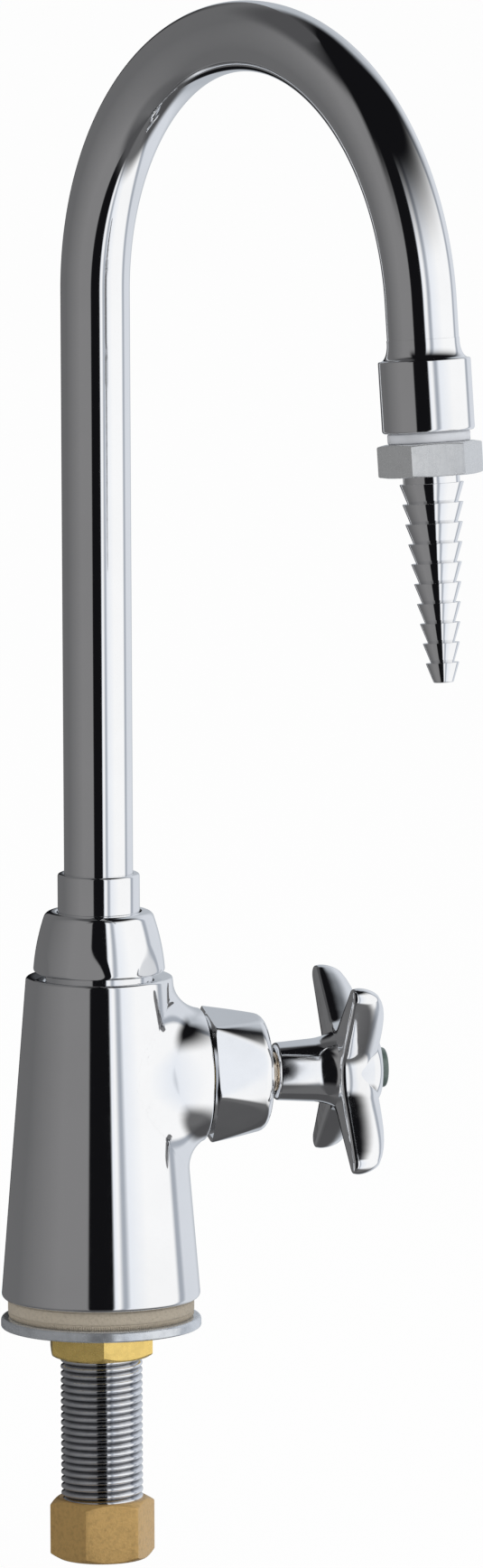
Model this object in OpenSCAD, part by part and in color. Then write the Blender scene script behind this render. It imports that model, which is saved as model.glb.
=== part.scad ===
// Laboratory gooseneck tap: a deck-mounted pillar tap with a swivelling gooseneck spout,
// a serrated hose nozzle and a cross handle on a side valve with a non-rising spindle.
// Millimetres. The origin is on the shank's axis in the deck plane, +Z is up,
// and +X runs along the valve axis towards the handle.

/* [Below the deck] */
// Diameter over the thread of the inlet shank
shank_d = 20.9; // [19:0.1:22]
// Diameter of the waterway through the inlet shank
shank_bore_d = 13.2; // [9:0.1:14]
// Length of the inlet shank below the deck plane
shank_drop = 57; // [50:1:90]
// Length of the inlet shank inside the body
shank_grip = 14; // [10:0.5:18]
// Diameter of the clamp washer
clamp_washer_d = 51; // [40:0.5:60]
// Thickness of the clamp washer
clamp_washer_t = 2.7; // [1.5:0.1:4]
// Width of the lock nut across its flats
lock_nut_af = 25.4; // [25:0.1:30]
// Thickness of the lock nut
lock_nut_t = 7.6; // [5:0.1:10]
// Angle of the lock nut's first corner
lock_nut_clock = 20.8; // [0:0.1:60]
// Width of the coupling nut across its flats
coupling_af = 23.5; // [23.2:0.1:30]
// Thickness of the coupling nut's inward lip
coupling_lip_t = 2.4; // [1.5:0.1:4]
// Length of shank held in the coupling nut
coupling_grip = 10; // [7:0.5:14]
// Thickness of the riser washer
riser_washer_t = 3; // [2:0.1:5]

/* [Body] */
// Diameter of the base gasket
gasket_d = 47.4; // [40:0.1:50]
// Thickness of the base gasket
gasket_t = 4.8; // [2:0.1:7]
// Diameter of the body at its foot
body_base_d = 50.7; // [48:0.1:60]
// Diameter of the body at its top
body_top_d = 37.2; // [35:0.1:44]
// Height of the body's cone
body_h = 82.4; // [78:0.2:100]
// Radius of the body's lower edge
base_round = 1.5; // [0.5:0.1:3]
// Radius of the small edges on the body
edge_round = 0.8; // [0.3:0.1:1.5]
// Depth of the valve axis below the body's top
valve_drop = 26.2; // [24:0.1:30]
// Diameter of the side boss
boss_d = 34; // [32:0.5:38]
// Distance of the boss's end from the body's axis
boss_x = 26.3; // [25:0.1:32]
// Slope of the boss's wall above and below
boss_draft = 9; // [0:0.5:12]
// Slope of the boss's wall at its sides
boss_side_draft = 3; // [0:0.5:5]
// Radius of the blend between the boss and the cone
blend_r = 8.5; // [2:0.1:10]
// Diameter of the inlet passage inside the body
inlet_d = 8.4; // [6:0.1:9]
// Distance of the inlet passage behind the body's axis
inlet_offset = 5.6; // [5:0.1:7]
// Diameter of the outlet passage inside the body
outlet_d = 8; // [5:0.1:9]
// Thickness of metal over the valve chamber
roof_t = 5; // [3:0.1:6]

/* [Spout joint] */
// Diameter over the thread of the body's neck
neck_d = 27.2; // [26:0.1:28]
// Height of the neck above the body's top
neck_h = 8.8; // [7:0.1:12]
// Diameter of the spout's spigot
spigot_d = 17.9; // [16.5:0.1:19]
// Bore of the spout's spigot
spigot_bore_d = 12.4; // [9:0.1:12.6]
// Diameter of the spout's retaining flange
flange_d = 23.6; // [22.6:0.1:24]
// Thickness of the spout's retaining flange
flange_t = 2.8; // [2:0.1:4]
// Thickness of the spout's thrust washer
spout_washer_t = 0.6; // [0.4:0.1:1.5]
// Diameter of the ferrule's collar
ferrule_d = 20.8; // [20.2:0.1:21.6]
// Height of the ferrule's collar above the spout nut
ferrule_h = 9.7; // [6:0.1:16]
// Section of the spout's seal rings
spout_ring_section = 1.8; // [1.4:0.1:2.1]
// Diameter of the spout nut at its foot
spout_nut_d = 33.5; // [32:0.1:36]
// Diameter of the spout nut at its shoulder
spout_nut_top_d = 27; // [25.5:0.1:29]
// Width of the spout nut across its flats
spout_nut_af = 31.8; // [31:0.1:33]
// Thickness of the spout nut's inward lip
spout_nut_lip_t = 4.4; // [3:0.1:6]
// Gap between the spout nut and the body's top
spout_nut_gap = 1.1; // [0.5:0.1:2]
// Radius of the spout nut's bulging side
spout_nut_bulge = 55; // [40:1:120]
// Radius of the spout nut's shoulder
spout_nut_round = 1.6; // [0.8:0.1:2.4]
// Angle of the spout nut's first flat
spout_nut_clock = 9; // [0:0.5:60]

/* [Gooseneck] */
// Outside diameter of the tube
tube_d = 17.46; // [16:0.02:18]
// Wall of the tube
tube_wall = 1.2; // [0.8:0.1:2]
// Radius of the bend on the tube's centreline
bend_r = 67.5; // [50:0.5:90]
// Angle of the bend
bend_angle = 174.5; // [150:0.5:180]
// Height of the bend's centre above the deck plane
bend_z = 261.2; // [180:0.2:320]
// Angle of the spout round the body, from the valve axis
spout_angle = -66; // [-180:1:180]

/* [Outlet] */
// Length of straight tube between the bend and the outlet socket's collar
outlet_run = 13.9; // [10:0.1:30]
// Diameter of the outlet socket
socket_d = 22.5; // [21:0.1:26]
// Length of the outlet socket's collar
socket_len = 17.5; // [14:0.1:24]
// Radius of the fillet above the socket's collar
socket_fillet = 2.5; // [1:0.1:4]
// Depth of tube held in the outlet socket's collar
socket_grip = 6; // [4:0.1:8]
// Diameter over the thread of the nozzle
nozzle_thread_d = 17; // [14:0.1:17.6]
// Length of the nozzle's thread
nozzle_thread_len = 8; // [5:0.1:9]
// Diameter of the nozzle's washer
nozzle_washer_d = 20.1; // [19:0.1:22]
// Thickness of the nozzle's washer
nozzle_washer_t = 2.6; // [1:0.1:4]
// Width of the nozzle's hexagon across its flats
nozzle_af = 22.4; // [20:0.1:25]
// Height of the nozzle's hexagon
nozzle_hex_h = 8.1; // [5:0.1:12]
// Angle of the nozzle's first corner
nozzle_clock = -2.7; // [-60:0.1:60]
// Diameter of the neck above the barbs
nozzle_neck_d = 13.8; // [11:0.1:14]
// Length of the neck above the barbs
nozzle_neck_len = 1.7; // [0.5:0.1:5]
// Number of barbs
barb_count = 10; // [4:1:12]
// Distance from barb to barb
barb_pitch = 4.84; // [3.5:0.02:6]
// Diameter of the first barb's edge
barb_first_d = 15.7; // [14:0.1:18]
// Diameter of the last barb's edge
barb_last_d = 8.2; // [7.6:0.1:12]
// How much each barb narrows
barb_drop = 3.4; // [2:0.1:4]
// Bore of the nozzle
nozzle_bore_d = 3.6; // [2:0.1:4]

/* [Valve] */
// Distance of the seat wall behind the boss's end
seat_setback = 21.3; // [20:0.1:22]
// Diameter of the valve chamber
chamber_d = 20; // [19:0.1:21]
// Bore of the valve seat
seat_bore_d = 8.4; // [6:0.1:9]
// Wall of the valve seat's threaded part
seat_wall = 2.2; // [1.5:0.1:2.6]
// Length of the valve seat's threaded part
seat_grip = 5; // [3:0.1:6]
// Thickness of the valve seat's flange
seat_flange_t = 1.5; // [1:0.1:2.5]
// Height of the valve seat's lip
seat_lip_h = 0.7; // [0.4:0.1:1.2]
// Thickness of the seat washer
seat_washer_t = 3; // [2:0.1:4]
// Diameter of the washer carrier
carrier_d = 12.8; // [12:0.1:13.4]
// Length of the washer carrier
carrier_len = 17; // [16:0.1:18]
// Lift of the washer carrier from shut to open
lift = 3; // [2:0.1:3.2]
// Outside diameter of the cartridge sleeve
sleeve_d = 17.8; // [17:0.1:18.4]
// Thickness of the cartridge sleeve's flange
sleeve_flange_t = 2; // [1.5:0.1:2.5]
// Thickness of the cartridge gasket
cartridge_gasket_t = 0.8; // [0.5:0.1:1.5]
// Diameter of the spindle
spindle_d = 10; // [8:0.1:10.4]
// Diameter of the spindle's threaded tip
spindle_tip_d = 5.8; // [5:0.1:7]
// Width of the square that drives the handle
spindle_square = 7; // [5:0.1:7.4]
// Section of the spindle's seal rings
spindle_ring_section = 1.5; // [1.2:0.1:1.6]

/* [Bonnet] */
// Diameter over the thread of the bonnet's neck
bonnet_thread_d = 24.8; // [23.8:0.1:26]
// Length of the bonnet's threaded neck
bonnet_neck_len = 4.3; // [4:0.1:6]
// Diameter of the bonnet's collar
bonnet_collar_d = 30.6; // [28:0.1:31.5]
// Length of the bonnet's collar
bonnet_collar_len = 1.4; // [1:0.1:3]
// Diameter of the bonnet's dome at its wide end
bonnet_d = 35.6; // [34:0.1:38]
// Length of the bonnet's dome
bonnet_len = 14.9; // [13.6:0.1:18]
// Slope of the bonnet's dome
bonnet_taper = 12.1; // [6:0.2:16]
// Radius of the dome's outer edge
bonnet_round = 3; // [1:0.1:4]
// Width of the bonnet across its flats at the wide end
bonnet_af = 31; // [30:0.1:34]
// Slope of the bonnet's flats
bonnet_flat_taper = 3.2; // [2:0.5:8]
// Angle of the bonnet's first flat
bonnet_clock = 10.5; // [0:0.5:60]

/* [Handle] */
// Length of spindle that shows between the bonnet and the handle
handle_gap = 2.6; // [2:0.1:6]
// Length of the handle along its axis
handle_len = 27.2; // [25:0.1:31]
// Diameter of the hub at its back end
hub_d = 14.6; // [13.6:0.1:17]
// Diameter of the hub where the arms begin
hub_root_d = 16.6; // [15:0.1:19]
// Depth of the recess round the spindle
hub_recess = 2.7; // [1:0.1:4]
// Distance from the hub's back end to the flat back of the arms
arm_back = 15.2; // [13:0.1:17]
// How far the back of the arms leans forward at the tips
arm_lean = 0.2; // [0:0.1:3]
// Distance of the arm tips from the handle's axis
arm_reach = 32.6; // [28:0.1:40]
// Radius of an arm's round tip
arm_tip_r = 2.6; // [2:0.1:5]
// Slope of an arm's sides
arm_taper = 6.8; // [0.5:0.1:9]
// Radius of the web between two arms
arm_web_r = 9; // [6:0.1:12]
// Height of an arm's widest line over its back
arm_side_h = 3.2; // [2:0.1:5]
// Height of an arm's rounded crown
arm_crown_h = 7.4; // [3:0.1:8.5]
// Fall of the crown at the tips
arm_crown_fall = 2.8; // [1:0.1:5]
// How far an arm's sides swell between its back and the widest line
arm_swell = 0.4; // [0:0.05:0.8]
// Width of the broken edge round the back of the arms
arm_edge = 0.5; // [0.2:0.1:1]
// Diameter of the rounded middle between the arms
middle_d = 19.4; // [19:0.1:24]
// Diameter of the handle's front face
front_d = 16; // [14:0.1:18]
// Radius of the handle's front edge
front_round = 2; // [1:0.1:3]
// Diameter of the index button
button_d = 10.2; // [9.6:0.1:11]
// How far the index button stands out of the handle
button_out = 1.9; // [0.5:0.1:3]
// Depth of the pocket under the index button
pocket_depth = 6.4; // [5.5:0.1:7]
// Thickness of handle between the pocket and the spindle
web_t = 3.8; // [2.5:0.1:5]
// Diameter of the handle screw
screw_d = 4; // [3:0.1:5]
// Length of the handle screw below its head
screw_len = 11; // [8:0.5:12]

/* [Fits] */
// Radial clearance of screwed and brazed joints
thread_clear = 0.05; // [0.02:0.01:0.1]
// Radial clearance of turning and sliding fits
run_clear = 0.05; // [0.02:0.01:0.09]
// Radial clearance of loose holes
loose_clear = 0.3; // [0.2:0.05:0.5]
// End play of turning pieces
end_play = 0.1; // [0.05:0.01:0.3]

/* [Hidden] */
$fn = 96;
// A cutter's overrun past the face that it opens
over = 0.5;
// Free length past the end of a stroke or of a blind hole
end_gap = 0.4;
// Steps along the handle's webs, sides, tips and crown
web_steps = 4;
side_steps = 3;
tip_steps = 4;
crown_steps = 5;
// Steps along the blend of the side boss, and marks along the cone against which its ball is tried
blend_steps = 5;
blend_marks = 40;
// Halvings in the search for the place where the blend's ball rests
blend_tries = 18;

// Levels up the shank and the body
shank_r = shank_d / 2;
body_z0 = gasket_t;
body_z1 = body_z0 + body_h;
valve_z = body_z1 - valve_drop;
boss_r = boss_d / 2;
rim_x = boss_x - edge_round;
shank_top = body_z0 + shank_grip;
inlet_step = 1.5;
inlet_chamber_d = shank_d - 2 * inlet_step;
inlet_chamber_h = 6;
washer_z0 = -clamp_washer_t;
coupling_z1 = coupling_grip - shank_drop;
coupling_h = coupling_grip + riser_washer_t + coupling_lip_t;
riser_hole_d = shank_bore_d + 2 * loose_clear;

// Levels of the spout joint
socket_floor = valve_z + chamber_d / 2 + roof_t;
spigot_end_gap = 2;
spigot_z0 = socket_floor + spigot_end_gap;
neck_top = body_z1 + neck_h;
flange_z0 = neck_top + spout_washer_t;
flange_z1 = flange_z0 + flange_t;
spout_nut_z0 = body_z1 + spout_nut_gap;
spout_lip_z0 = flange_z1 + end_play;
spout_nut_z1 = spout_lip_z0 + spout_nut_lip_t;
ferrule_top = spout_nut_z1 + ferrule_h;
ferrule_ledge_t = 1;
tube_z0 = flange_z1 + ferrule_ledge_t;
neck_bore_d = spigot_d + 2 * run_clear;
spout_nut_cavity_d = flange_d + 2 * loose_clear;

// The outlet's frame: its start is where the bend ends
tube_r = tube_d / 2;
outlet_s = bend_r * (1 - cos(bend_angle));
outlet_z = bend_z + bend_r * sin(bend_angle);
socket_t1 = outlet_run + socket_len;
tube_end_t = outlet_run + socket_grip;
end_draw = 0.01;
hex_t0 = socket_t1 + nozzle_washer_t;
hex_t1 = hex_t0 + nozzle_hex_h;
barb_t0 = hex_t1 + nozzle_neck_len;
nozzle_tip_t = barb_t0 + barb_count * barb_pitch;

// Places along the valve axis
seat_x = boss_x - seat_setback;
seat_lip_x = seat_x + seat_flange_t + seat_lip_h;
carrier_x0 = seat_lip_x + seat_washer_t;
carrier_x1 = carrier_x0 + carrier_len;
seat_screw_d = 3;
seat_screw_len = 4.5;
carrier_bore_x = carrier_x0 + seat_screw_len + end_gap;
spindle_tip_x = carrier_bore_x + lift + end_gap;
ring_x = carrier_x1 + lift + end_gap;
ring_t = 0.7;
ring_w = 1.8;
collar_x = ring_x + ring_t + end_play;
collar_t = 2;
spindle_washer_x = collar_x + collar_t + end_play;
spindle_washer_t = 0.6;
journal_x = spindle_washer_x + spindle_washer_t;
bonnet_neck_x = boss_x - bonnet_neck_len;
sleeve_flange_x = bonnet_neck_x - sleeve_flange_t;
chamber_x1 = sleeve_flange_x - cartridge_gasket_t;
bonnet_dome_x = boss_x + bonnet_collar_len;
bonnet_x1 = bonnet_dome_x + bonnet_len;
bonnet_wall = 2.6;
sleeve_setback = 0.8;
sleeve_x0 = carrier_x0 + sleeve_setback;
sleeve_x1 = bonnet_x1 - bonnet_wall - end_gap;
sleeve_bore_d = carrier_d + 2 * run_clear;
ring_groove_d = sleeve_bore_d + ring_w;
journal_d = spindle_d + 2 * run_clear;
bonnet_bore_d = sleeve_d + 2 * run_clear;
lug_w = 4;
lug_len = 2.4;
lug_x = sleeve_x0 + end_gap;
hub_x = bonnet_x1 + handle_gap;
square_x = hub_x + hub_recess;
handle_x1 = hub_x + handle_len;
pocket_x = handle_x1 - pocket_depth;
square_end_x = pocket_x - web_t;
spindle_x1 = square_end_x - end_gap;

// A washer, collar or straight bush standing on the current plane
module ring(d, hole_d, h) {
    rotate_extrude()
        translate([hole_d / 2, 0])
            square([(d - hole_d) / 2, h]);
}

// A seal ring of round section whose outside has the given diameter
module seal_ring(outside_d, section) {
    rotate_extrude()
        translate([(outside_d - section) / 2, 0])
            circle(d = section);
}

// Places children on the valve axis at a distance from the body's axis, their +Z along +X
module on_valve_axis(x) {
    translate([x, 0, valve_z])
        rotate([0, 90, 0])
            children();
}

// Places children on the outlet's axis at a distance past the bend, their +Z along the flow
module on_outlet_axis(t) {
    rotate([0, 0, spout_angle])
        translate([outlet_s, 0, outlet_z])
            rotate([0, bend_angle, 0])
                translate([0, 0, t])
                    children();
}

function unit(v) = v / norm(v);
function turn_left(v) = [-v[1], v[0]];

// The waste to cut from an outline to round its corner p, which lies between points a and b,
// met in that order when the outline is walked anticlockwise
module round_corner(a, p, b, r) {
    u = unit(a - p);
    v = unit(b - p);
    half = acos(u * v) / 2;
    c = p + unit(u + v) * r / sin(half);
    out_u = turn_left(u);
    out_v = -turn_left(v);
    difference() {
        polygon([c, c + out_u * (r + over), p - unit(u + v) * 2 * over, c + out_v * (r + over)]);
        translate(c) circle(r);
    }
}

// A hexagon of a nut, its corners turned off by cones at the chosen ends
module hexagon(af, h, low_chamfer, high_chamfer) {
    corner_r = af / sqrt(3);
    face_r = 0.96 * af / 2;
    drop = (corner_r - face_r) * tan(30);
    intersection() {
        cylinder(r = corner_r, h = h, $fn = 6);
        rotate_extrude()
            polygon([
                [0, 0],
                [low_chamfer ? face_r : corner_r + over, 0],
                [corner_r + over, low_chamfer ? drop * (1 + over / (corner_r - face_r)) : over],
                [corner_r + over, h - (high_chamfer ? drop * (1 + over / (corner_r - face_r)) : over)],
                [high_chamfer ? face_r : corner_r + over, h],
                [0, h]
            ]);
    }
}

// The body cone's radius at a level, and how far from the body's axis its surface lies, along the
// valve axis, at a distance out from that axis in a direction round it
function cone_r(z) = (body_base_d + (body_top_d - body_base_d) * (z - body_z0) / body_h) / 2;
function cone_x(out, angle) =
    sqrt(max(0, pow(cone_r(valve_z + out * sin(angle)), 2) - pow(out * cos(angle), 2)));

// In one direction round the valve axis the blend is a ball that touches the boss and the cone. Its
// middle when it touches the boss's sloping wall, or the rim from a direction; how far it then stands
// off the cone; and its middle, and the direction of the boss from it, where it rests on both
function wall_slope(angle) = boss_side_draft + (boss_draft - boss_side_draft) * pow(sin(angle), 2);
function wall_ball(x, angle) =
    [boss_r + (rim_x - x) * tan(wall_slope(angle)) + blend_r / cos(wall_slope(angle)), x];
function rim_ball(way) = [boss_r, rim_x] + blend_r * [cos(way), sin(way)];
function cone_mark(c, k) = max(boss_r - 1, c[0] - blend_r) + 2 * blend_r * k / blend_marks;
function stand_off(c, angle) =
    min([for (k = [0:blend_marks]) norm(c - [cone_mark(c, k), cone_x(cone_mark(c, k), angle)])]) - blend_r;
function rest_wall(low, high, angle, tries) = let(x = (low + high) / 2)
    tries == 0 ? [wall_ball(high, angle), wall_slope(angle)]
    : stand_off(wall_ball(x, angle), angle) < 0 ? rest_wall(x, high, angle, tries - 1)
    : rest_wall(low, x, angle, tries - 1);
function rest_rim(low, high, angle, tries) = let(way = (low + high) / 2)
    tries == 0 ? [rim_ball(high), high]
    : stand_off(rim_ball(way), angle) < 0 ? rest_rim(way, high, angle, tries - 1)
    : rest_rim(low, way, angle, tries - 1);
function rest_ball(angle) = let(highest = rim_x + blend_r * sin(wall_slope(angle)))
    stand_off(wall_ball(highest, angle), angle) >= 0
        ? rest_wall(0, highest, angle, blend_tries)
        : rest_rim(wall_slope(angle), 90, angle, blend_tries);

// The blend of the side boss into the cone: a ring that is rooted in both
module boss_blend() {
    root = 0.4;
    sides = 72;
    profiles = [for (i = [0:sides - 1]) let(
        angle = 360 * i / sides,
        rest = rest_ball(angle),
        c = rest[0],
        gaps = [for (k = [0:blend_marks]) norm(c - [cone_mark(c, k), cone_x(cone_mark(c, k), angle)])],
        near = cone_mark(c, search(min(gaps), gaps)[0]),
        meets = atan2(c[1] - cone_x(near, angle), c[0] - near)
    ) concat(
        [[rim_x - root / 2, boss_r - root], [rim_x - root, boss_r + root / 4]],
        [for (k = [0.5:blend_steps - 0.5]) let(way = rest[1] + (meets - rest[1]) * k / blend_steps)
            [c[1] - blend_r * sin(way), c[0] - blend_r * cos(way)]],
        [[cone_x(near + 2 * root, angle) - root, near + 2 * root], [cone_x(boss_r, angle) - 2, boss_r - 2]]
    )];
    rows = len(profiles[0]);
    polyhedron(
        [for (i = [0:sides - 1], p = profiles[i]) let(angle = 360 * i / sides)
            [p[0], p[1] * cos(angle), valve_z + p[1] * sin(angle)]],
        [for (i = [0:sides - 1], j = [0:rows - 1], half = [0, 1]) let(
            a = i * rows + j,
            b = (i + 1) % sides * rows + j,
            c = (i + 1) % sides * rows + (j + 1) % rows,
            d = i * rows + (j + 1) % rows
        ) half == 0 ? [a, b, c] : [a, c, d]]
    );
}

// The body's outside: a cone on a rounded foot, a threaded neck on top and a boss blended into its side
module body_outside() {
    foot = [body_base_d / 2, body_z0];
    top = [body_top_d / 2, body_z1];
    rim = [boss_r, boss_x];
    rotate_extrude()
        difference() {
            polygon([[0, body_z0], foot, top, [0, body_z1]]);
            round_corner([0, body_z0], foot, top, base_round);
            round_corner(foot, top, [0, body_z1], edge_round);
        }
    translate([0, 0, body_z1 - over])
        cylinder(d = neck_d, h = neck_h + over);
    on_valve_axis(0)
        rotate_extrude()
            difference() {
                square(rim);
                round_corner([boss_r, 0], rim, [0, boss_x], edge_round);
            }
    boss_blend();
}

// The water's way through the body: up the back, through the seat, and out at the top
module body_waterway() {
    outlet_x = seat_x + chamber_d / 4;
    outlet_rise = spigot_z0 - valve_z;
    outlet_end_x = 1;
    outlet_tilt = atan((outlet_x - outlet_end_x) / outlet_rise);
    translate([0, 0, body_z0 - over])
        cylinder(d = shank_d + 2 * thread_clear, h = shank_grip + over);
    translate([0, 0, shank_top - over])
        cylinder(d = inlet_chamber_d, h = inlet_chamber_h + over);
    translate([-inlet_offset, 0, shank_top + inlet_chamber_h / 2])
        cylinder(d = inlet_d, h = valve_z - shank_top - inlet_chamber_h / 2);
    on_valve_axis(-inlet_offset)
        cylinder(d = seat_bore_d, h = seat_x + inlet_offset);
    on_valve_axis(seat_x - seat_grip)
        cylinder(d = seat_bore_d + 2 * seat_wall + 2 * thread_clear, h = seat_grip + over);
    on_valve_axis(seat_x)
        cylinder(d = chamber_d, h = chamber_x1 - seat_x + over);
    on_valve_axis(chamber_x1)
        cylinder(d = bonnet_thread_d + 2 * thread_clear, h = boss_x - chamber_x1 + over);
    translate([outlet_x, 0, valve_z])
        rotate([0, -outlet_tilt, 0])
            cylinder(d = outlet_d, h = outlet_rise / cos(outlet_tilt));
    translate([0, 0, socket_floor])
        cylinder(d = neck_bore_d, h = neck_top - socket_floor + over);
}

module tap_body() {
    color("silver")
        difference() {
            body_outside();
            body_waterway();
        }
}

module inlet_shank() {
    edge = 1;
    color("lightsteelblue")
        rotate_extrude()
            polygon([
                [shank_bore_d / 2, -shank_drop],
                [shank_r - edge, -shank_drop],
                [shank_r, edge - shank_drop],
                [shank_r, shank_top],
                [shank_bore_d / 2, shank_top]
            ]);
}

module base_gasket() {
    color("tan")
        ring(gasket_d, shank_d + 2 * loose_clear, gasket_t);
}

module valve_seat() {
    flange_w = 1.4;
    lip_w = 0.6;
    flange_r = seat_bore_d / 2 + seat_wall + flange_w;
    lip_r = seat_bore_d / 2 + flange_w;
    color("goldenrod")
        on_valve_axis(seat_x - seat_grip)
            rotate_extrude()
                polygon([
                    [seat_bore_d / 2, 0],
                    [seat_bore_d / 2 + seat_wall, 0],
                    [seat_bore_d / 2 + seat_wall, seat_grip],
                    [flange_r, seat_grip],
                    [flange_r, seat_grip + seat_flange_t],
                    [lip_r, seat_grip + seat_flange_t],
                    [lip_r - lip_w / 4, seat_grip + seat_flange_t + seat_lip_h],
                    [lip_r - lip_w, seat_grip + seat_flange_t + seat_lip_h],
                    [seat_bore_d / 2, seat_grip + seat_flange_t]
                ]);
}

// The cartridge: a sleeve with a clamping flange, two slots for the carrier's lugs and a journal
module cartridge_sleeve() {
    slot_end = lug_x + lug_len + lift + end_gap;
    color("goldenrod")
        difference() {
            union() {
                on_valve_axis(sleeve_x0)
                    cylinder(d = sleeve_d, h = sleeve_x1 - sleeve_x0);
                on_valve_axis(sleeve_flange_x)
                    cylinder(d = bonnet_thread_d - 2 * loose_clear, h = sleeve_flange_t);
            }
            on_valve_axis(sleeve_x0 - over)
                cylinder(d = sleeve_bore_d, h = journal_x - sleeve_x0 + over);
            on_valve_axis(sleeve_x0)
                cylinder(d = journal_d, h = sleeve_x1 - sleeve_x0 + over);
            on_valve_axis(ring_x)
                cylinder(d = ring_groove_d, h = ring_t);
            translate([sleeve_x0 - over, -sleeve_d, valve_z - lug_w / 2 - run_clear])
                cube([slot_end - sleeve_x0 + over, 2 * sleeve_d, lug_w + 2 * run_clear]);
        }
}

module cartridge_gasket() {
    color("dimgray")
        on_valve_axis(chamber_x1)
            ring(bonnet_thread_d - 2 * loose_clear, sleeve_d + 2 * loose_clear, cartridge_gasket_t);
}

module spindle_thrust_washer() {
    color("white")
        on_valve_axis(spindle_washer_x)
            ring(carrier_d, journal_d, spindle_washer_t);
}

// A split spring ring that holds the spindle in the cartridge
module retaining_ring() {
    ring_d = ring_groove_d - 2 * thread_clear;
    hole_d = ring_d - 2 * ring_w;
    split_w = 3;
    color("dimgray")
        on_valve_axis(ring_x)
            difference() {
                ring(ring_d, hole_d, ring_t);
                translate([hole_d / 4, -split_w / 2, -over])
                    cube([ring_d, split_w, ring_t + 2 * over]);
            }
}

// The bonnet: a domed nut whose six leaning flats run out on its cone
module bonnet_nut() {
    wide = [bonnet_d / 2, bonnet_collar_len];
    end_x = bonnet_collar_len + bonnet_len;
    narrow = [bonnet_d / 2 - bonnet_len * tan(bonnet_taper), end_x];
    bore_depth = sleeve_x1 + end_gap - bonnet_neck_x;
    color("silver")
        on_valve_axis(boss_x)
            difference() {
                union() {
                    rotate_extrude()
                        difference() {
                            polygon([[0, bonnet_collar_len], wide, narrow, [0, end_x]]);
                            round_corner(wide, narrow, [0, end_x], bonnet_round);
                        }
                    cylinder(d = bonnet_collar_d, h = bonnet_collar_len + over);
                    translate([0, 0, -bonnet_neck_len])
                        cylinder(d = bonnet_thread_d, h = bonnet_neck_len + over);
                }
                for (k = [0:5])
                    rotate([0, 0, bonnet_clock + 60 * k])
                        translate([bonnet_af / 2, 0, bonnet_collar_len])
                            rotate([0, -bonnet_flat_taper, 0])
                                translate([0, -bonnet_d / 2, -bonnet_collar_len])
                                    cube([bonnet_d / 2, bonnet_d, 2 * bonnet_len]);
                translate([0, 0, -bonnet_neck_len - over])
                    cylinder(d = bonnet_bore_d, h = bore_depth + over);
                cylinder(d = spindle_d + 2 * loose_clear, h = end_x + over);
            }
}

module spout_thrust_washer() {
    color("white")
        translate([0, 0, neck_top])
            ring(flange_d, neck_bore_d + 2 * loose_clear, spout_washer_t);
}

// The spout nut: a bulging bell with six scalloped flats, over the neck and the spout's flange
module spout_nut() {
    foot = [spout_nut_d / 2, spout_nut_z0];
    shoulder = [spout_nut_top_d / 2, spout_nut_z1];
    chord = shoulder - foot;
    bulge_c = (foot + shoulder) / 2
        + turn_left(unit(chord)) * sqrt(pow(spout_nut_bulge, 2) - pow(norm(chord) / 2, 2));
    color("silver")
        difference() {
            rotate_extrude()
                intersection() {
                    difference() {
                        polygon([
                            [0, spout_nut_z0],
                            [foot[0] + over, spout_nut_z0],
                            [foot[0] + over, spout_nut_z1],
                            [0, spout_nut_z1]
                        ]);
                        round_corner(foot, shoulder, [0, spout_nut_z1], spout_nut_round);
                    }
                    translate(bulge_c) circle(spout_nut_bulge, $fn = 360);
                }
            for (k = [0:5])
                rotate([0, 0, spout_nut_clock + 60 * k])
                    translate([spout_nut_af / 2, -spout_nut_d / 2, spout_nut_z0 - over])
                        cube([spout_nut_d, spout_nut_d, spout_nut_z1]);
            translate([0, 0, spout_nut_z0 - over])
                cylinder(d = neck_d + 2 * thread_clear, h = neck_top - spout_nut_z0 + over);
            translate([0, 0, neck_top - over])
                cylinder(d = spout_nut_cavity_d, h = spout_lip_z0 - neck_top + over);
            translate([0, 0, neck_top])
                cylinder(d = ferrule_d + 2 * loose_clear, h = spout_nut_z1);
        }
}

function ring_level(k) = spigot_z0 + (flange_z0 - spigot_z0) * (k + 1) / 3;

// The ferrule: a collar brazed on the tube, with a flange and a grooved spigot that turns in the body
module spout_ferrule() {
    collar = [ferrule_d / 2, ferrule_top];
    groove_w = spout_ring_section + 2 * run_clear;
    groove_d = spigot_d - 2 * spout_ring_section;
    color("silver")
        difference() {
            union() {
                translate([0, 0, spigot_z0])
                    cylinder(d = spigot_d, h = flange_z0 - spigot_z0 + over);
                translate([0, 0, flange_z0])
                    cylinder(d = flange_d, h = flange_t);
                rotate_extrude()
                    difference() {
                        translate([0, flange_z1 - over])
                            square([ferrule_d / 2, ferrule_top - flange_z1 + over]);
                        round_corner([ferrule_d / 2, 0], collar, [0, ferrule_top], edge_round);
                    }
            }
            translate([0, 0, spigot_z0 - over])
                cylinder(d = spigot_bore_d, h = ferrule_top - spigot_z0);
            translate([0, 0, tube_z0])
                cylinder(d = tube_d + 2 * thread_clear, h = ferrule_top - tube_z0 + over);
            for (k = [0:1])
                translate([0, 0, ring_level(k) - groove_w / 2])
                    ring(spigot_d + 2 * over, groove_d, groove_w);
        }
}

module spout_o_rings() {
    color("black")
        for (k = [0:1])
            translate([0, 0, ring_level(k)])
                seal_ring(spigot_d, spout_ring_section);
}

// The tube's section, its wall thinned by a draw on both sides
module tube_section(draw) {
    difference() {
        circle(r = tube_r - draw);
        circle(r = tube_r - tube_wall + draw);
    }
}

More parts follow.
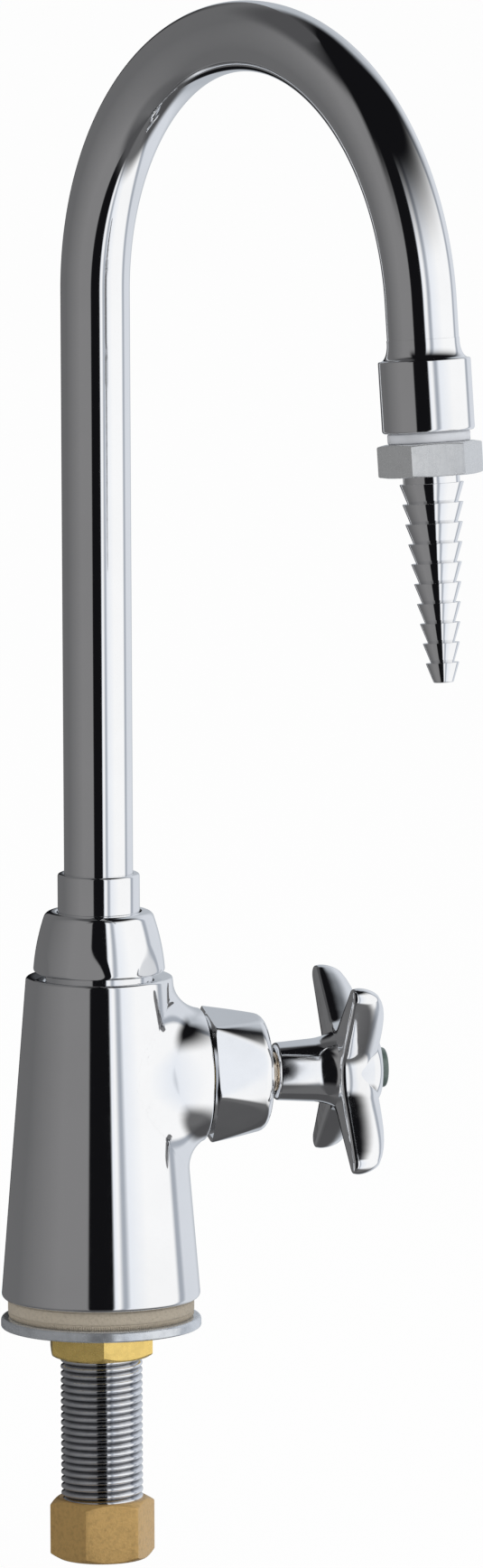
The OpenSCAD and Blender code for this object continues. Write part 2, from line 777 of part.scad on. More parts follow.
// The gooseneck: a straight leg, one bend, and a straight end sized a hair smaller for its socket
module gooseneck_tube() {
    color("silver") {
        rotate([0, 0, spout_angle]) {
            translate([0, 0, tube_z0])
                linear_extrude(bend_z - tube_z0)
                    tube_section(0);
            translate([bend_r, 0, bend_z])
                rotate([90, 0, 0])
                    rotate_extrude(angle = bend_angle, start = 180 - bend_angle, $fn = 64)
                        translate([bend_r, 0])
                            tube_section(0, $fn = 48);
        }
        on_outlet_axis(0)
            linear_extrude(tube_end_t)
                tube_section(end_draw);
    }
}

// The outlet socket: a collar that flares out of the tube, threaded inside for the nozzle
module outlet_socket() {
    skirt = 0.6;
    skirt_r = tube_r + skirt;
    flare = min(socket_fillet, socket_d / 2 - skirt_r - end_draw);
    low = [socket_d / 2, socket_len];
    high = [socket_d / 2, 0];
    color("silver")
        on_outlet_axis(outlet_run)
            difference() {
                union() {
                    rotate_extrude()
                        difference() {
                            square([socket_d / 2, socket_len]);
                            round_corner([0, 0], high, low, edge_round);
                            round_corner(high, low, [0, socket_len], edge_round);
                        }
                    translate([0, 0, -2 * flare])
                        rotate_extrude()
                            difference() {
                                square([skirt_r + flare, 2 * flare + over]);
                                translate([skirt_r + flare, flare])
                                    circle(flare);
                                translate([skirt_r, -over])
                                    square([flare + over, flare + over]);
                            }
                }
                translate([0, 0, -2 * flare - over])
                    cylinder(d = tube_d + 2 * thread_clear, h = 2 * flare + socket_grip + over);
                cylinder(r = tube_r - tube_wall, h = socket_len + over);
                translate([0, 0, socket_len - nozzle_thread_len - end_gap])
                    cylinder(d = nozzle_thread_d + 2 * thread_clear, h = nozzle_thread_len + end_gap + over);
            }
}

module nozzle_washer() {
    color("white")
        on_outlet_axis(socket_t1)
            ring(nozzle_washer_d, nozzle_thread_d + 2 * thread_clear, nozzle_washer_t);
}

function barb_r(k) = (barb_first_d + (barb_last_d - barb_first_d) * k / (barb_count - 1)) / 2;

// The hose nozzle: a threaded end, a hexagon, a neck and a row of saw-tooth barbs
module serrated_nozzle() {
    barbs_z = barb_t0 - hex_t0;
    thread_z = -nozzle_washer_t - nozzle_thread_len;
    thread_wall = 2.5;
    wide_end_z = nozzle_hex_h - 1;
    color("silver")
        on_outlet_axis(hex_t0)
            difference() {
                union() {
                    translate([0, 0, thread_z])
                        cylinder(d = nozzle_thread_d, h = over - thread_z);
                    rotate([0, 0, nozzle_clock])
                        hexagon(nozzle_af, nozzle_hex_h, true, true);
                    translate([0, 0, nozzle_hex_h - over])
                        cylinder(d = nozzle_neck_d, h = nozzle_neck_len + 2 * over);
                    translate([0, 0, barbs_z])
                        rotate_extrude()
                            polygon(concat(
                                [[0, 0]],
                                [for (k = [0:barb_count - 1], low = [0, 1])
                                    [barb_r(k) - low * barb_drop / 2, (k + low) * barb_pitch]],
                                [[0, barb_count * barb_pitch]]
                            ));
                }
                translate([0, 0, thread_z - over])
                    cylinder(d = nozzle_thread_d - 2 * thread_wall, h = wide_end_z - thread_z + over);
                cylinder(d = nozzle_bore_d, h = nozzle_tip_t);
            }
}

function spindle_ring_x(k) = journal_x + (sleeve_x1 - journal_x) * (2 * k + 1) / 4;

// The spindle: a threaded tip, a thrust collar, a grooved stem and a square for the handle
module valve_spindle() {
    groove_w = spindle_ring_section + 2 * run_clear;
    screw_hole_len = screw_len + 1;
    color("goldenrod")
        difference() {
            union() {
                on_valve_axis(spindle_tip_x)
                    cylinder(d = spindle_tip_d, h = collar_x - spindle_tip_x + over);
                on_valve_axis(collar_x)
                    cylinder(d = carrier_d, h = collar_t);
                on_valve_axis(collar_x)
                    cylinder(d = spindle_d, h = square_x - collar_x);
                translate([square_x - over, -spindle_square / 2, valve_z - spindle_square / 2])
                    cube([spindle_x1 - square_x + over, spindle_square, spindle_square]);
            }
            for (k = [0:1])
                on_valve_axis(spindle_ring_x(k) - groove_w / 2)
                    ring(spindle_d + 2 * over, spindle_d - 2 * spindle_ring_section, groove_w);
            on_valve_axis(pocket_x - screw_hole_len)
                cylinder(d = screw_d + 2 * thread_clear, h = screw_hole_len);
        }
}

module spindle_o_rings() {
    color("black")
        for (k = [0:1])
            on_valve_axis(spindle_ring_x(k))
                seal_ring(spindle_d, spindle_ring_section);
}

function between(p, q, share) = p + (q - p) * share;
function turned(p, angle) = [p[0] * cos(angle) - p[1] * sin(angle), p[0] * sin(angle) + p[1] * cos(angle)];

// Half the outline of one arm along +X, from the web's middle to the tip. Each entry holds a centre, a
// radius and a direction that give the point, and its depth: the way from there to the arm's middle line
function arm_half() = let(
    tip_x = arm_reach - arm_tip_r,
    web_c = (tip_x * sin(arm_taper) + arm_tip_r + arm_web_r) / (sin(arm_taper) + cos(arm_taper)),
    side = -90 - arm_taper,
    root = [web_c, web_c] + arm_web_r * [cos(side), sin(side)],
    tip = [tip_x + arm_tip_r * sin(arm_taper), arm_tip_r * cos(arm_taper)]
) concat(
    [for (k = [0:web_steps]) let(angle = -135 + (45 - arm_taper) * k / web_steps)
        [[web_c, web_c], arm_web_r, angle, -web_c / sin(angle) - arm_web_r]],
    [for (k = [1:side_steps - 1]) let(p = between(root, tip, k / side_steps))
        [p, 0, side, p[1] / cos(arm_taper)]],
    [for (k = [0:tip_steps])
        [[tip_x, 0], -arm_tip_r, 180 + (90 - arm_taper) * (1 - k / tip_steps), arm_tip_r]]
);

// One ring of the star: the outline set in, drawn in by a share of the rest of its depths and lifted by
// a rise. The back leans forward towards the tips and the crown falls there
function star_ring(half, inset, share, rise) = let(
    last = len(half) - 1,
    part = rise / (arm_side_h + arm_crown_h)
) [for (k = [0:3], j = [0:2 * last - 1]) let(
    h = half[j > last ? 2 * last - j : j],
    p = h[0] + (h[1] + between(inset, h[3], share)) * [cos(h[2]), sin(h[2])],
    q = turned([p[0], j > last ? p[1] : -p[1]], 45 + 90 * k),
    out = norm(q) / arm_reach
) [q[0], q[1], rise + arm_lean * out * (1 - part) - (arm_crown_fall - arm_lean) * part * pow(out, 4)]];

// The faces that close a ring of the star: strips across each arm and a square in the middle
function star_cap(first, n) = let(arm = n / 4) concat(
    [for (k = [0:3], j = [0:arm / 2 - 2], half = [0, 1]) half == 0
        ? [first + k * arm + j, first + k * arm + j + 1, first + (k * arm + arm - j) % n]
        : [first + k * arm + j + 1, first + k * arm + arm - j - 1, first + (k * arm + arm - j) % n]],
    [for (k = [0:3]) let(tip = first + k * arm + arm / 2) [tip - 1, tip, tip + 1]],
    [[first, first + arm, first + 2 * arm], [first, first + 2 * arm, first + 3 * arm]]
);

// The star of four arms: a flat back with a broken edge, swelling sides and a rounded crown
module handle_star() {
    crown_share = 0.96;
    half = arm_half();
    rings = concat(
        [
            star_ring(half, arm_swell + arm_edge, 0, 0),
            star_ring(half, arm_swell, 0, arm_edge),
            star_ring(half, arm_swell / 4, 0, (arm_edge + arm_side_h) / 2),
            star_ring(half, 0, 0, arm_side_h)
        ],
        [for (k = [1:crown_steps]) let(angle = 90 * k / crown_steps)
            star_ring(half, 0, crown_share * (1 - cos(angle)), arm_side_h + arm_crown_h * sin(angle))]
    );
    n = len(rings[0]);
    last = len(rings) - 1;
    polyhedron([for (ring = rings, p = ring) p], concat(
        [for (j = [0:last - 1], i = [0:n - 1], half = [0, 1]) half == 0
            ? [j * n + i, (j + 1) * n + i, (j + 1) * n + (i + 1) % n]
            : [j * n + i, (j + 1) * n + (i + 1) % n, j * n + (i + 1) % n]],
        star_cap(0, n),
        [for (face = star_cap(last * n, n)) [face[2], face[1], face[0]]]
    ));
}

// The cross handle: a flared hub, a star of four arms and a rounded middle with a pocket for the button
module cross_handle() {
    blend_h = 2.4;
    crown_z = arm_back + arm_side_h;
    color("silver")
        on_valve_axis(hub_x)
            difference() {
                union() {
                    rotate_extrude()
                        difference() {
                            polygon([
                                [0, 0],
                                [hub_d / 2, 0],
                                [hub_root_d / 2, arm_back - blend_h],
                                [middle_d / 2, arm_back + arm_edge],
                                [middle_d / 2, crown_z],
                                [front_d / 2, handle_len],
                                [0, handle_len]
                            ]);
                            round_corner([0, 0], [hub_d / 2, 0], [hub_root_d / 2, arm_back - blend_h],
                                edge_round);
                            round_corner([middle_d / 2, crown_z], [front_d / 2, handle_len], [0, handle_len],
                                front_round);
                        }
                    translate([0, 0, arm_back])
                        handle_star();
                }
                translate([0, 0, -over])
                    cylinder(d = spindle_d + 2 * loose_clear, h = hub_recess + over);
                translate([0, 0, (square_end_x - hub_x) / 2])
                    cube([spindle_square + 2 * run_clear, spindle_square + 2 * run_clear,
                        square_end_x - hub_x], center = true);
                cylinder(d = screw_d + 2 * loose_clear, h = handle_len);
                translate([0, 0, pocket_x - hub_x])
                    cylinder(d = button_d + 2 * thread_clear, h = pocket_depth + over);
            }
}

module handle_screw() {
    head_d = 2 * screw_d;
    head_t = 0.6 * screw_d;
    slot_w = 1.2;
    color("gainsboro")
        on_valve_axis(pocket_x - screw_len)
            difference() {
                union() {
                    cylinder(d = screw_d, h = screw_len + over);
                    translate([0, 0, screw_len])
                        cylinder(d = head_d, h = head_t);
                }
                translate([-head_d, -slot_w / 2, screw_len + head_t / 2])
                    cube([2 * head_d, slot_w, head_t]);
            }
}

// The index button: a thin cap with a skirt that snaps into the handle's pocket
module index_button() {
    cap_t = 1.4;
    skirt_len = 3;
    skirt_wall = 0.8;
    crown = [button_d / 2, cap_t + button_out];
    color("darkseagreen")
        on_valve_axis(handle_x1 - cap_t)
            difference() {
                rotate_extrude()
                    difference() {
                        translate([0, cap_t - skirt_len])
                            square([button_d / 2, skirt_len + button_out]);
                        round_corner([button_d / 2, 0], crown, [0, cap_t + button_out], edge_round);
                    }
                translate([0, 0, cap_t - skirt_len - over])
                    cylinder(d = button_d - 2 * skirt_wall, h = skirt_len - cap_t + over);
            }
}

// The washer carrier: it slides without turning, guided by two lugs, on the spindle's thread
module washer_carrier() {
    lug_r = sleeve_d / 2 - loose_clear;
    color("goldenrod")
        difference() {
            union() {
                on_valve_axis(carrier_x0)
                    cylinder(d = carrier_d, h = carrier_len);
                translate([lug_x, -lug_r, valve_z - lug_w / 2])
                    cube([lug_len, 2 * lug_r, lug_w]);
            }
            on_valve_axis(carrier_bore_x)
                cylinder(d = spindle_tip_d + 2 * run_clear, h = carrier_len);
            on_valve_axis(carrier_x0 - over)
                cylinder(d = seat_screw_d + 2 * thread_clear, h = seat_screw_len + over);
        }
}

module seat_washer() {
    color("black")
        on_valve_axis(seat_lip_x)
            ring(carrier_d - 2 * loose_clear, seat_screw_d + 2 * loose_clear, seat_washer_t);
}

module seat_washer_screw() {
    shank_len = seat_washer_t + seat_screw_len - end_gap;
    head_d = 2 * seat_screw_d;
    head_t = seat_screw_d / 2;
    color("goldenrod")
        on_valve_axis(seat_lip_x)
            union() {
                cylinder(d = seat_screw_d, h = shank_len);
                translate([0, 0, -head_t])
                    cylinder(d = head_d, h = head_t);
            }
}

module clamp_washer() {
    color("slategray")
        translate([0, 0, washer_z0])
            ring(clamp_washer_d, shank_d + 2 * loose_clear, clamp_washer_t);
}

module lock_nut() {
    color("goldenrod")
        translate([0, 0, washer_z0 - lock_nut_t])
            rotate([0, 0, lock_nut_clock])
                difference() {
                    hexagon(lock_nut_af, lock_nut_t, true, false);
                    translate([0, 0, -over])
                        cylinder(d = shank_d + 2 * run_clear, h = lock_nut_t + 2 * over);
                }
}

module riser_washer() {
    color("black")
        translate([0, 0, -shank_drop - riser_washer_t])
            ring(shank_d - 2 * loose_clear, riser_hole_d, riser_washer_t);
}

module coupling_nut() {
    color("darkgoldenrod")
        translate([0, 0, coupling_z1 - coupling_h])
            difference() {
                hexagon(coupling_af, coupling_h, true, true);
                translate([0, 0, -over])
                    cylinder(d = riser_hole_d + 2 * loose_clear, h = coupling_h);
                translate([0, 0, coupling_lip_t])
                    cylinder(d = shank_d + 2 * run_clear, h = coupling_h);
            }
}

tap_body();
inlet_shank();
base_gasket();
valve_seat();
cartridge_sleeve();
cartridge_gasket();
spindle_thrust_washer();
retaining_ring();
bonnet_nut();
spout_thrust_washer();
spout_nut();
spout_ferrule();
spout_o_rings();
gooseneck_tube();
outlet_socket();
nozzle_washer();
serrated_nozzle();
valve_spindle();
spindle_o_rings();
cross_handle();
handle_screw();
index_button();
washer_carrier();
seat_washer();
seat_washer_screw();
clamp_washer();
lock_nut();
riser_washer();
coupling_nut();
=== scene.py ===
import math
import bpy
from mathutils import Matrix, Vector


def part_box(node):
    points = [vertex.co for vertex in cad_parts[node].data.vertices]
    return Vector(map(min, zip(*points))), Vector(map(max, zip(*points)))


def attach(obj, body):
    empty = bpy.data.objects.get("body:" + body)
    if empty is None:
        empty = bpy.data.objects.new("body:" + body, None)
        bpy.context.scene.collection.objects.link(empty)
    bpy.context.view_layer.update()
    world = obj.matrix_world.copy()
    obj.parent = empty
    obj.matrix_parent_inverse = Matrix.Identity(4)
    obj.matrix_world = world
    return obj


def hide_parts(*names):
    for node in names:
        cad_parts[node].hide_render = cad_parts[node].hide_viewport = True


bl_info = {
    "name": "Laboratory gooseneck tap",
    "version": (1, 0, 0),
    "blender": (4, 5, 0),
    "location": "View3D > Sidebar > Tap",
    "description": "Dresses the tap: polished shell, serrated nozzle, cross handle and threaded shank",
    "category": "Object",
}

import bmesh
import bpy
from bpy.props import FloatProperty, FloatVectorProperty, IntProperty, PointerProperty
from mathutils import Matrix, Vector

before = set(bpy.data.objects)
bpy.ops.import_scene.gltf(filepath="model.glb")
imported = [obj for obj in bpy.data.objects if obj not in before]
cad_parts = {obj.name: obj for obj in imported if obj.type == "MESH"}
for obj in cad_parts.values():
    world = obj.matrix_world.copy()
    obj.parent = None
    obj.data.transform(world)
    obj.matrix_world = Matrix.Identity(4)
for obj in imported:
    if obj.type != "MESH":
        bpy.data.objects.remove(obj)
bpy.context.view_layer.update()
MM = 0.001
# Room between pieces that fit into each other, in millimetres
GAP = 0.05


# Sizes and colours


def length(name, description, millimetres):
    return FloatProperty(
        name=name, description=description, default=millimetres * MM, unit="LENGTH", precision=5
    )


def angle(name, description, degrees):
    return FloatProperty(
        name=name, description=description, default=math.radians(degrees), subtype="ANGLE"
    )


def colour(name, description, rgb):
    return FloatVectorProperty(
        name=name, description=description, default=rgb, size=3, min=0.0, max=1.0, subtype="COLOR"
    )


class SpoutSizes(bpy.types.PropertyGroup):
    """Sizes of the spout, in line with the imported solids"""

    tube_d: length("Tube diameter", "Outside diameter of the bent tube", 17.46)
    tube_wall: length("Tube wall", "Wall thickness of the bent tube", 1.2)
    tube_foot: length("Tube foot", "Height of the tube's lower end", 100.4)
    bend_z: length("Bend height", "Height at which the bend starts", 261.2)
    bend_r: length("Bend radius", "Radius of the bend's centre line", 67.5)
    bend_angle: angle("Bend angle", "How far the tube is bent over", 174.5)
    spout_angle: angle("Spout direction", "Direction of the outlet round the upright", -66.0)
    outlet_run: length("Outlet run", "Straight run from the bend to the socket", 13.9)
    ferrule_d: length("Ferrule diameter", "Diameter of the collar at the tube's foot", 20.8)
    ferrule_top: length("Ferrule top", "Height of the collar's upper edge", 113.6)
    nut_d: length("Spout nut diameter", "Diameter of the spout nut's foot", 33.5)
    nut_top_d: length("Spout nut top", "Diameter of the spout nut's shoulder", 27.0)
    nut_flats: length("Spout nut flats", "Width over the spout nut's flats", 31.8)
    nut_clock: angle("Spout nut turn", "Direction of the first flat", 9.0)
    socket_d: length("Socket diameter", "Diameter of the outlet socket", 22.5)
    socket_len: length("Socket length", "Length of the outlet socket", 17.5)
    washer_d: length("Nozzle washer", "Diameter of the white washer", 20.1)
    washer_t: length("Nozzle washer height", "Thickness of the white washer", 2.6)
    hex_flats: length("Nozzle hexagon", "Width over the nozzle's flats", 22.4)
    hex_h: length("Nozzle hexagon height", "Height of the nozzle's hexagon", 8.1)
    hex_clock: angle("Nozzle turn", "Direction of the nozzle's first corner", -2.7)
    barb_pitch: length("Barb pitch", "Distance from barb to barb", 4.84)
    barb_first_d: length("First barb", "Diameter of the widest barb", 15.7)
    barb_last_d: length("Last barb", "Diameter of the narrowest barb", 8.2)
    barb_drop: length("Barb drop", "How far a barb narrows over its length", 3.4)
    barbs: IntProperty(name="Barbs", description="Number of barbs", default=10, min=2, max=16)


class BodySizes(bpy.types.PropertyGroup):
    """Sizes of the body, the bonnet and the handle"""

    base_d: length("Body foot", "Diameter of the body's foot", 50.7)
    top_d: length("Body top", "Diameter of the body's upper rim", 37.2)
    z0: length("Body bottom", "Height of the body's lower edge", 4.8)
    z1: length("Body rim", "Height of the body's upper rim", 87.2)
    neck_d: length("Neck diameter", "Diameter of the neck inside the spout nut", 27.2)
    valve_z: length("Valve height", "Height of the valve's axis", 61.0)
    boss_d: length("Boss diameter", "Diameter of the side boss", 34.0)
    boss_x: length("Boss reach", "Distance of the boss's rim from the upright", 26.3)
    boss_bore_d: length("Boss bore", "Diameter of the bore behind the bonnet", 20.0)
    boss_draft: angle("Boss draft", "Slope of the boss's wall above and below", 9.0)
    boss_side_draft: angle("Boss side draft", "Slope of the boss's wall at its sides", 3.0)
    boss_blend: length("Boss blend", "Radius of the blend into the cone above and below", 8.5)
    boss_side_blend: length("Boss side blend", "Radius of the blend into the cone at the sides", 30.0)
    bonnet_d: length("Bonnet diameter", "Diameter of the bonnet's wide end", 35.6)
    bonnet_len: length("Bonnet length", "Length of the bonnet's cone", 14.9)
    bonnet_taper: angle("Bonnet taper", "Slope of the bonnet's cone", 12.1)
    bonnet_flats: length("Bonnet flats", "Width over the bonnet's flats", 31.0)
    bonnet_lean: angle("Bonnet lean", "How far the flats lean inwards", 3.2)
    bonnet_clock: angle("Bonnet turn", "Direction of the first flat", 10.5)
    collar_d: length("Bonnet collar", "Diameter of the sunk collar", 30.6)
    collar_len: length("Bonnet groove", "Width of the groove at the boss", 1.4)
    hub_x: length("Hub place", "Distance of the hub's back end from the upright", 45.2)
    hub_d: length("Hub diameter", "Diameter of the hub's back end", 14.6)
    hub_root_d: length("Hub root", "Diameter of the hub at the arms", 16.6)
    hub_recess_d: length("Hub recess", "Diameter of the recess round the spindle", 10.9)
    arm_back: length("Arm place", "Distance from the hub's end to the arms' back", 15.2)
    arm_lean: length("Arm lean", "How far the back leans forward at the tips", 0.2)
    arm_reach: length("Arm reach", "Distance of the tips from the handle's axis", 32.6)
    arm_tip_r: length("Arm tip", "Radius of an arm's tip", 2.6)
    arm_taper: angle("Arm taper", "Slope of an arm's sides", 6.8)
    arm_web_r: length("Arm web", "Radius of the web between two arms", 9.0)
    arm_side_h: length("Arm side", "Height of an arm's widest line over its back", 3.2)
    arm_crown_h: length("Arm crown", "Height of an arm's rounded crown", 7.4)
    arm_fall: length("Crown fall", "Fall of the crown at the tips", 2.8)
    arm_thumb: length("Tip fall", "Further fall of the crown close to the tips", 2.4)
    front_x: length("Handle front", "Distance from the hub's end to the front", 27.2)
    front_d: length("Handle middle", "Diameter of the front's middle", 16.0)
    button_d: length("Button diameter", "Diameter of the index button", 10.2)
    button_out: length("Button height", "How far the button stands out", 1.9)


class FootSizes(bpy.types.PropertyGroup):
    """Sizes of what lies under the body and under the deck"""

    gasket_d: length("Gasket diameter", "Diameter of the fibre gasket", 47.4)
    gasket_t: length("Gasket thickness", "Thickness of the fibre gasket", 4.8)
    gasket_ribs: IntProperty(
        name="Gasket ribs", description="Ribs round the gasket's edge", default=252, min=6
    )
    washer_d: length("Clamp washer", "Diameter of the clamp washer", 51.0)
    washer_t: length("Clamp washer thickness", "Thickness of the clamp washer", 2.7)
    shank_d: length("Shank diameter", "Diameter over the thread's crests", 20.9)
    shank_bore_d: length("Shank bore", "Diameter of the shank's bore", 13.2)
    shank_top: length("Shank top", "Height of the shank's upper end", 18.8)
    shank_drop: length("Shank drop", "How far the shank reaches below the deck", 57.0)
    thread_pitch: length("Thread pitch", "Distance from crest to crest, 14 to the inch", 1.8143)
    thread_depth: length("Thread depth", "Depth of the thread", 1.05)
    lock_flats: length("Lock nut flats", "Width over the lock nut's flats", 25.4)
    lock_t: length("Lock nut height", "Height of the lock nut", 7.6)
    lock_clock: angle("Lock nut turn", "Direction of the lock nut's first corner", 20.8)
    coupling_flats: length("Coupling flats", "Width over the coupling nut's flats", 23.5)
    coupling_top: length("Coupling top", "Depth of the coupling nut's upper face", 47.0)
    coupling_foot: length("Coupling foot", "Depth of the coupling nut's lower face", 62.4)
    riser_hole_d: length("Riser hole", "Diameter of the hole for the riser", 13.8)


class TapColours(bpy.types.PropertyGroup):
    """Colours of the tap's finishes"""

    chrome: colour("Chrome", "Polished plating", (0.93, 0.935, 0.945))
    satin: colour("Satin chrome", "Brushed plating of the nozzle", (0.68, 0.69, 0.70))
    shank: colour("Plated thread", "Bright plating of the shank", (0.84, 0.85, 0.88))
    brass: colour("Brass", "Freshly cut brass", (0.92, 0.67, 0.22))
    stem: colour("Stem", "Plated brass of the spindle", (0.80, 0.68, 0.54))
    dull_brass: colour("Dull brass", "Unpolished brass", (0.66, 0.42, 0.155))
    zinc: colour("Zinc", "Zinc on steel", (0.70, 0.73, 0.77))
    fibre: colour("Fibre", "Pressed fibre gasket", (0.45, 0.395, 0.315))
    nylon: colour("Nylon", "White nylon washer", (0.68, 0.70, 0.74))
    rubber: colour("Rubber", "Black seal rubber", (0.02, 0.02, 0.021))
    button: colour("Button", "Index button", (0.10, 0.14, 0.125))


class StudioSizes(bpy.types.PropertyGroup):
    """Sizes of the studio round the tap"""

    dome: FloatProperty(name="Dome", description="Radius of the dome", default=0.48, unit="LENGTH")
    upper_start: angle("Upper start", "Height at which the dome's level row ends", 25.0)
    upper_end: angle("Upper end", "Height at which the dome's upper row ends", 54.0)
    roof_end: angle("Roof end", "Height from which the dome is dark", 70.0)
    low_start: angle("Low start", "Depth at which the dome's level row ends", -41.0)
    low_end: angle("Low end", "Depth from which the dome has its lower row", -60.0)
    floor: FloatProperty(
        name="Floor", description="Radius of the floor", default=20.0, unit="LENGTH"
    )
    floor_gap: length("Floor gap", "Room above the floor for the coupling nut's travel", 9.0)
    key: FloatProperty(name="Key light", description="Power of the key light in watts", default=9.0)
    fill: FloatProperty(name="Sky", description="Strength of the sky on matt surfaces", default=0.75)


class Mm:
    """Reads a group's lengths in millimetres"""

    def __init__(self, group):
        self.group = group

    def __getattr__(self, key):
        return getattr(self.group, key) / MM


# Meshes, in millimetres until they are placed


def radius(point):
    return math.hypot(point.x, point.y)


def bevel(bm, geom, offset, segments, affect):
    bmesh.ops.bevel(
        bm,
        geom=geom,
        offset=offset,
        segments=segments,
        profile=0.5,
        affect=affect,
        material=-1,
        clamp_overlap=True,
    )


def lathe(corners, steps=144, row=0.0):
    """Spins a profile of (radius, height, rounding) corners about Z, in rows no taller than row"""
    bm = bmesh.new()
    verts = [bm.verts.new((c[0], 0.0, c[1])) for c in corners]
    bm.faces.new(verts)
    for vert, corner in zip(verts, corners):
        if len(corner) > 2:
            bevel(bm, [vert], corner[2], segments=5, affect="VERTICES")
    bmesh.ops.delete(bm, geom=bm.faces[:], context="FACES_ONLY")
    on_axis = [e for e in bm.edges if max(v.co.x for v in e.verts) < 1e-6]
    if on_axis:
        bmesh.ops.delete(bm, geom=on_axis, context="EDGES")
    if row:
        for edge in bm.edges[:]:
            cuts = int(edge.calc_length() / row)
            if cuts:
                bmesh.ops.subdivide_edges(bm, edges=[edge], cuts=cuts)
    spin_round(bm, bm.verts[:] + bm.edges[:], steps)
    return bm


def spin_round(bm, geom, steps):
    """Spins a sixth of a turn, then copies that sector round"""
    about = {"cent": (0, 0, 0), "axis": (0, 0, 1)}
    bmesh.ops.spin(bm, geom=geom, angle=math.tau / 6, steps=steps // 6, **about)
    sector = bm.verts[:] + bm.edges[:] + bm.faces[:]
    bmesh.ops.spin(bm, geom=sector, angle=math.tau * 5 / 6, steps=5, use_duplicate=True, **about)
    close_up(bm)


def close_up(bm):
    bmesh.ops.remove_doubles(bm, verts=bm.verts[:], dist=1e-3)
    bmesh.ops.recalc_face_normals(bm, faces=bm.faces[:])


def soft_min(a, b, soft):
    if abs(a - b) >= soft:
        return min(a, b)
    h = (soft - abs(a - b)) / soft
    return min(a, b) - h * h * soft / 4


def shave_flats(bm, across, clock, soft, z0=0.0, lean=0.0):
    """Cuts six flats into a spun shape, with soft edges, leaning inwards above z0"""
    for vert in bm.verts:
        r = radius(vert.co)
        turn = (math.atan2(vert.co.y, vert.co.x) - clock + math.pi / 6) % (math.pi / 3) - math.pi / 6
        flat = (across / 2 - (vert.co.z - z0) * math.tan(lean)) / math.cos(turn)
        vert.co.xy *= soft_min(r, flat, soft) / r


def hexagon(across, height, bore_r, clock, edge=0.3, chamfer=30.0):
    """A hexagon from z 0 up, with turned chamfers whose edges curve over the flats"""
    corner_r = across / math.sqrt(3)
    face_r = 0.48 * across
    slope = math.tan(math.radians(chamfer))
    corner_drop = slope * (corner_r - face_r)
    bm = lathe(
        [
            (bore_r, 0.0, 0.3),
            (face_r, 0.0),
            (corner_r, corner_drop),
            (corner_r, height - corner_drop),
            (face_r, height),
            (bore_r, height, 0.3),
        ],
        steps=180,
    )
    for vert in bm.verts:
        r = radius(vert.co)
        if r < face_r + 1e-3:
            continue
        turn = math.atan2(vert.co.y, vert.co.x) % (math.pi / 3) - math.pi / 6
        flat_r = across / 2 / math.cos(turn)
        drop = slope * max(0.0, flat_r - face_r)
        vert.co.z = drop if vert.co.z < height / 2 else height - drop
        vert.co.xy *= flat_r / r
    sharp = [
        e
        for e in bm.edges
        if len(e.link_faces) == 2
        and e.calc_face_angle() > math.radians(20)
        and min(radius(v.co) for v in e.verts) > face_r - 1e-3
    ]
    bevel(bm, sharp, edge, segments=3, affect="EDGES")
    bmesh.ops.rotate(bm, verts=bm.verts[:], cent=(0, 0, 0), matrix=Matrix.Rotation(clock, 3, "Z"))
    return bm


def add(bm, other):
    """Puts another mesh into bm"""
    mesh = bpy.data.meshes.new("part")
    other.to_mesh(mesh)
    other.free()
    bm.from_mesh(mesh)
    bpy.data.meshes.remove(mesh)
    return bm


def only(kind, geom):
    return [g for g in geom if isinstance(g, kind)]


def extruded(bm, ring):
    """Extrudes a closed ring of edges, and gives the new vertices and the new ring"""
    made = bmesh.ops.extrude_edge_only(bm, edges=ring)["geom"]
    verts = only(bmesh.types.BMVert, made)
    edges = [e for e in only(bmesh.types.BMEdge, made) if all(v in verts for v in e.verts)]
    return verts, edges


def skin(count, places):
    """A skin over rings of count vertices, numbered round, each where its ring's place(index) says"""
    bm = bmesh.new()
    tag = bm.verts.layers.int.new("place")
    verts = bmesh.ops.create_circle(bm, cap_ends=False, segments=count, radius=1.0)["verts"]
    for vert in verts:
        vert[tag] = round(math.atan2(vert.co.y, vert.co.x) / math.tau * count) % count
    ring = bm.edges[:]
    for k, place in enumerate(places):
        if k:
            verts, ring = extruded(bm, ring)
        for vert in verts:
            vert.co = place(vert[tag])
    return bm


def on_valve_axis(x, valve_z):
    return Matrix.Translation((x, 0, valve_z)) @ Matrix.Rotation(math.pi / 2, 4, "Y")


def spout_turn(sizes):
    return Matrix.Rotation(sizes.spout_angle, 4, "Z")


def on_outlet_axis(sizes, t):
    bend = sizes.bend_angle
    r = sizes.bend_r / MM
    end = (r * (1 - math.cos(bend)), 0, sizes.bend_z / MM + r * math.sin(bend))
    return (
        spout_turn(sizes)
        @ Matrix.Translation(end)
        @ Matrix.Rotation(bend, 4, "Y")
        @ Matrix.Translation((0, 0, t))
    )


def solid(bm, name, material):
    """Makes an object of a mesh, shaded smooth"""
    mesh = bpy.data.meshes.new(name)
    bm.to_mesh(mesh)
    bm.free()
    mesh.polygons.foreach_set("use_smooth", [True] * len(mesh.polygons))
    mesh.materials.append(material)
    obj = bpy.data.objects.new(name, mesh)
    bpy.context.scene.collection.objects.link(obj)
    return obj


def piece(bm, name, key, body, stands_for, place=None, sharp=40.0):
    """Places a mesh, gives it its finish and its body, and lets it stand for its node"""
    bm.transform(Matrix.Scale(MM, 4) @ (place or Matrix.Identity(4)))
    obj = solid(bm, name, finish(key))
    obj.data.set_sharp_from_angle(angle=math.radians(sharp))
    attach(obj, body)
    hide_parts(stands_for)
    return obj


# Finishes


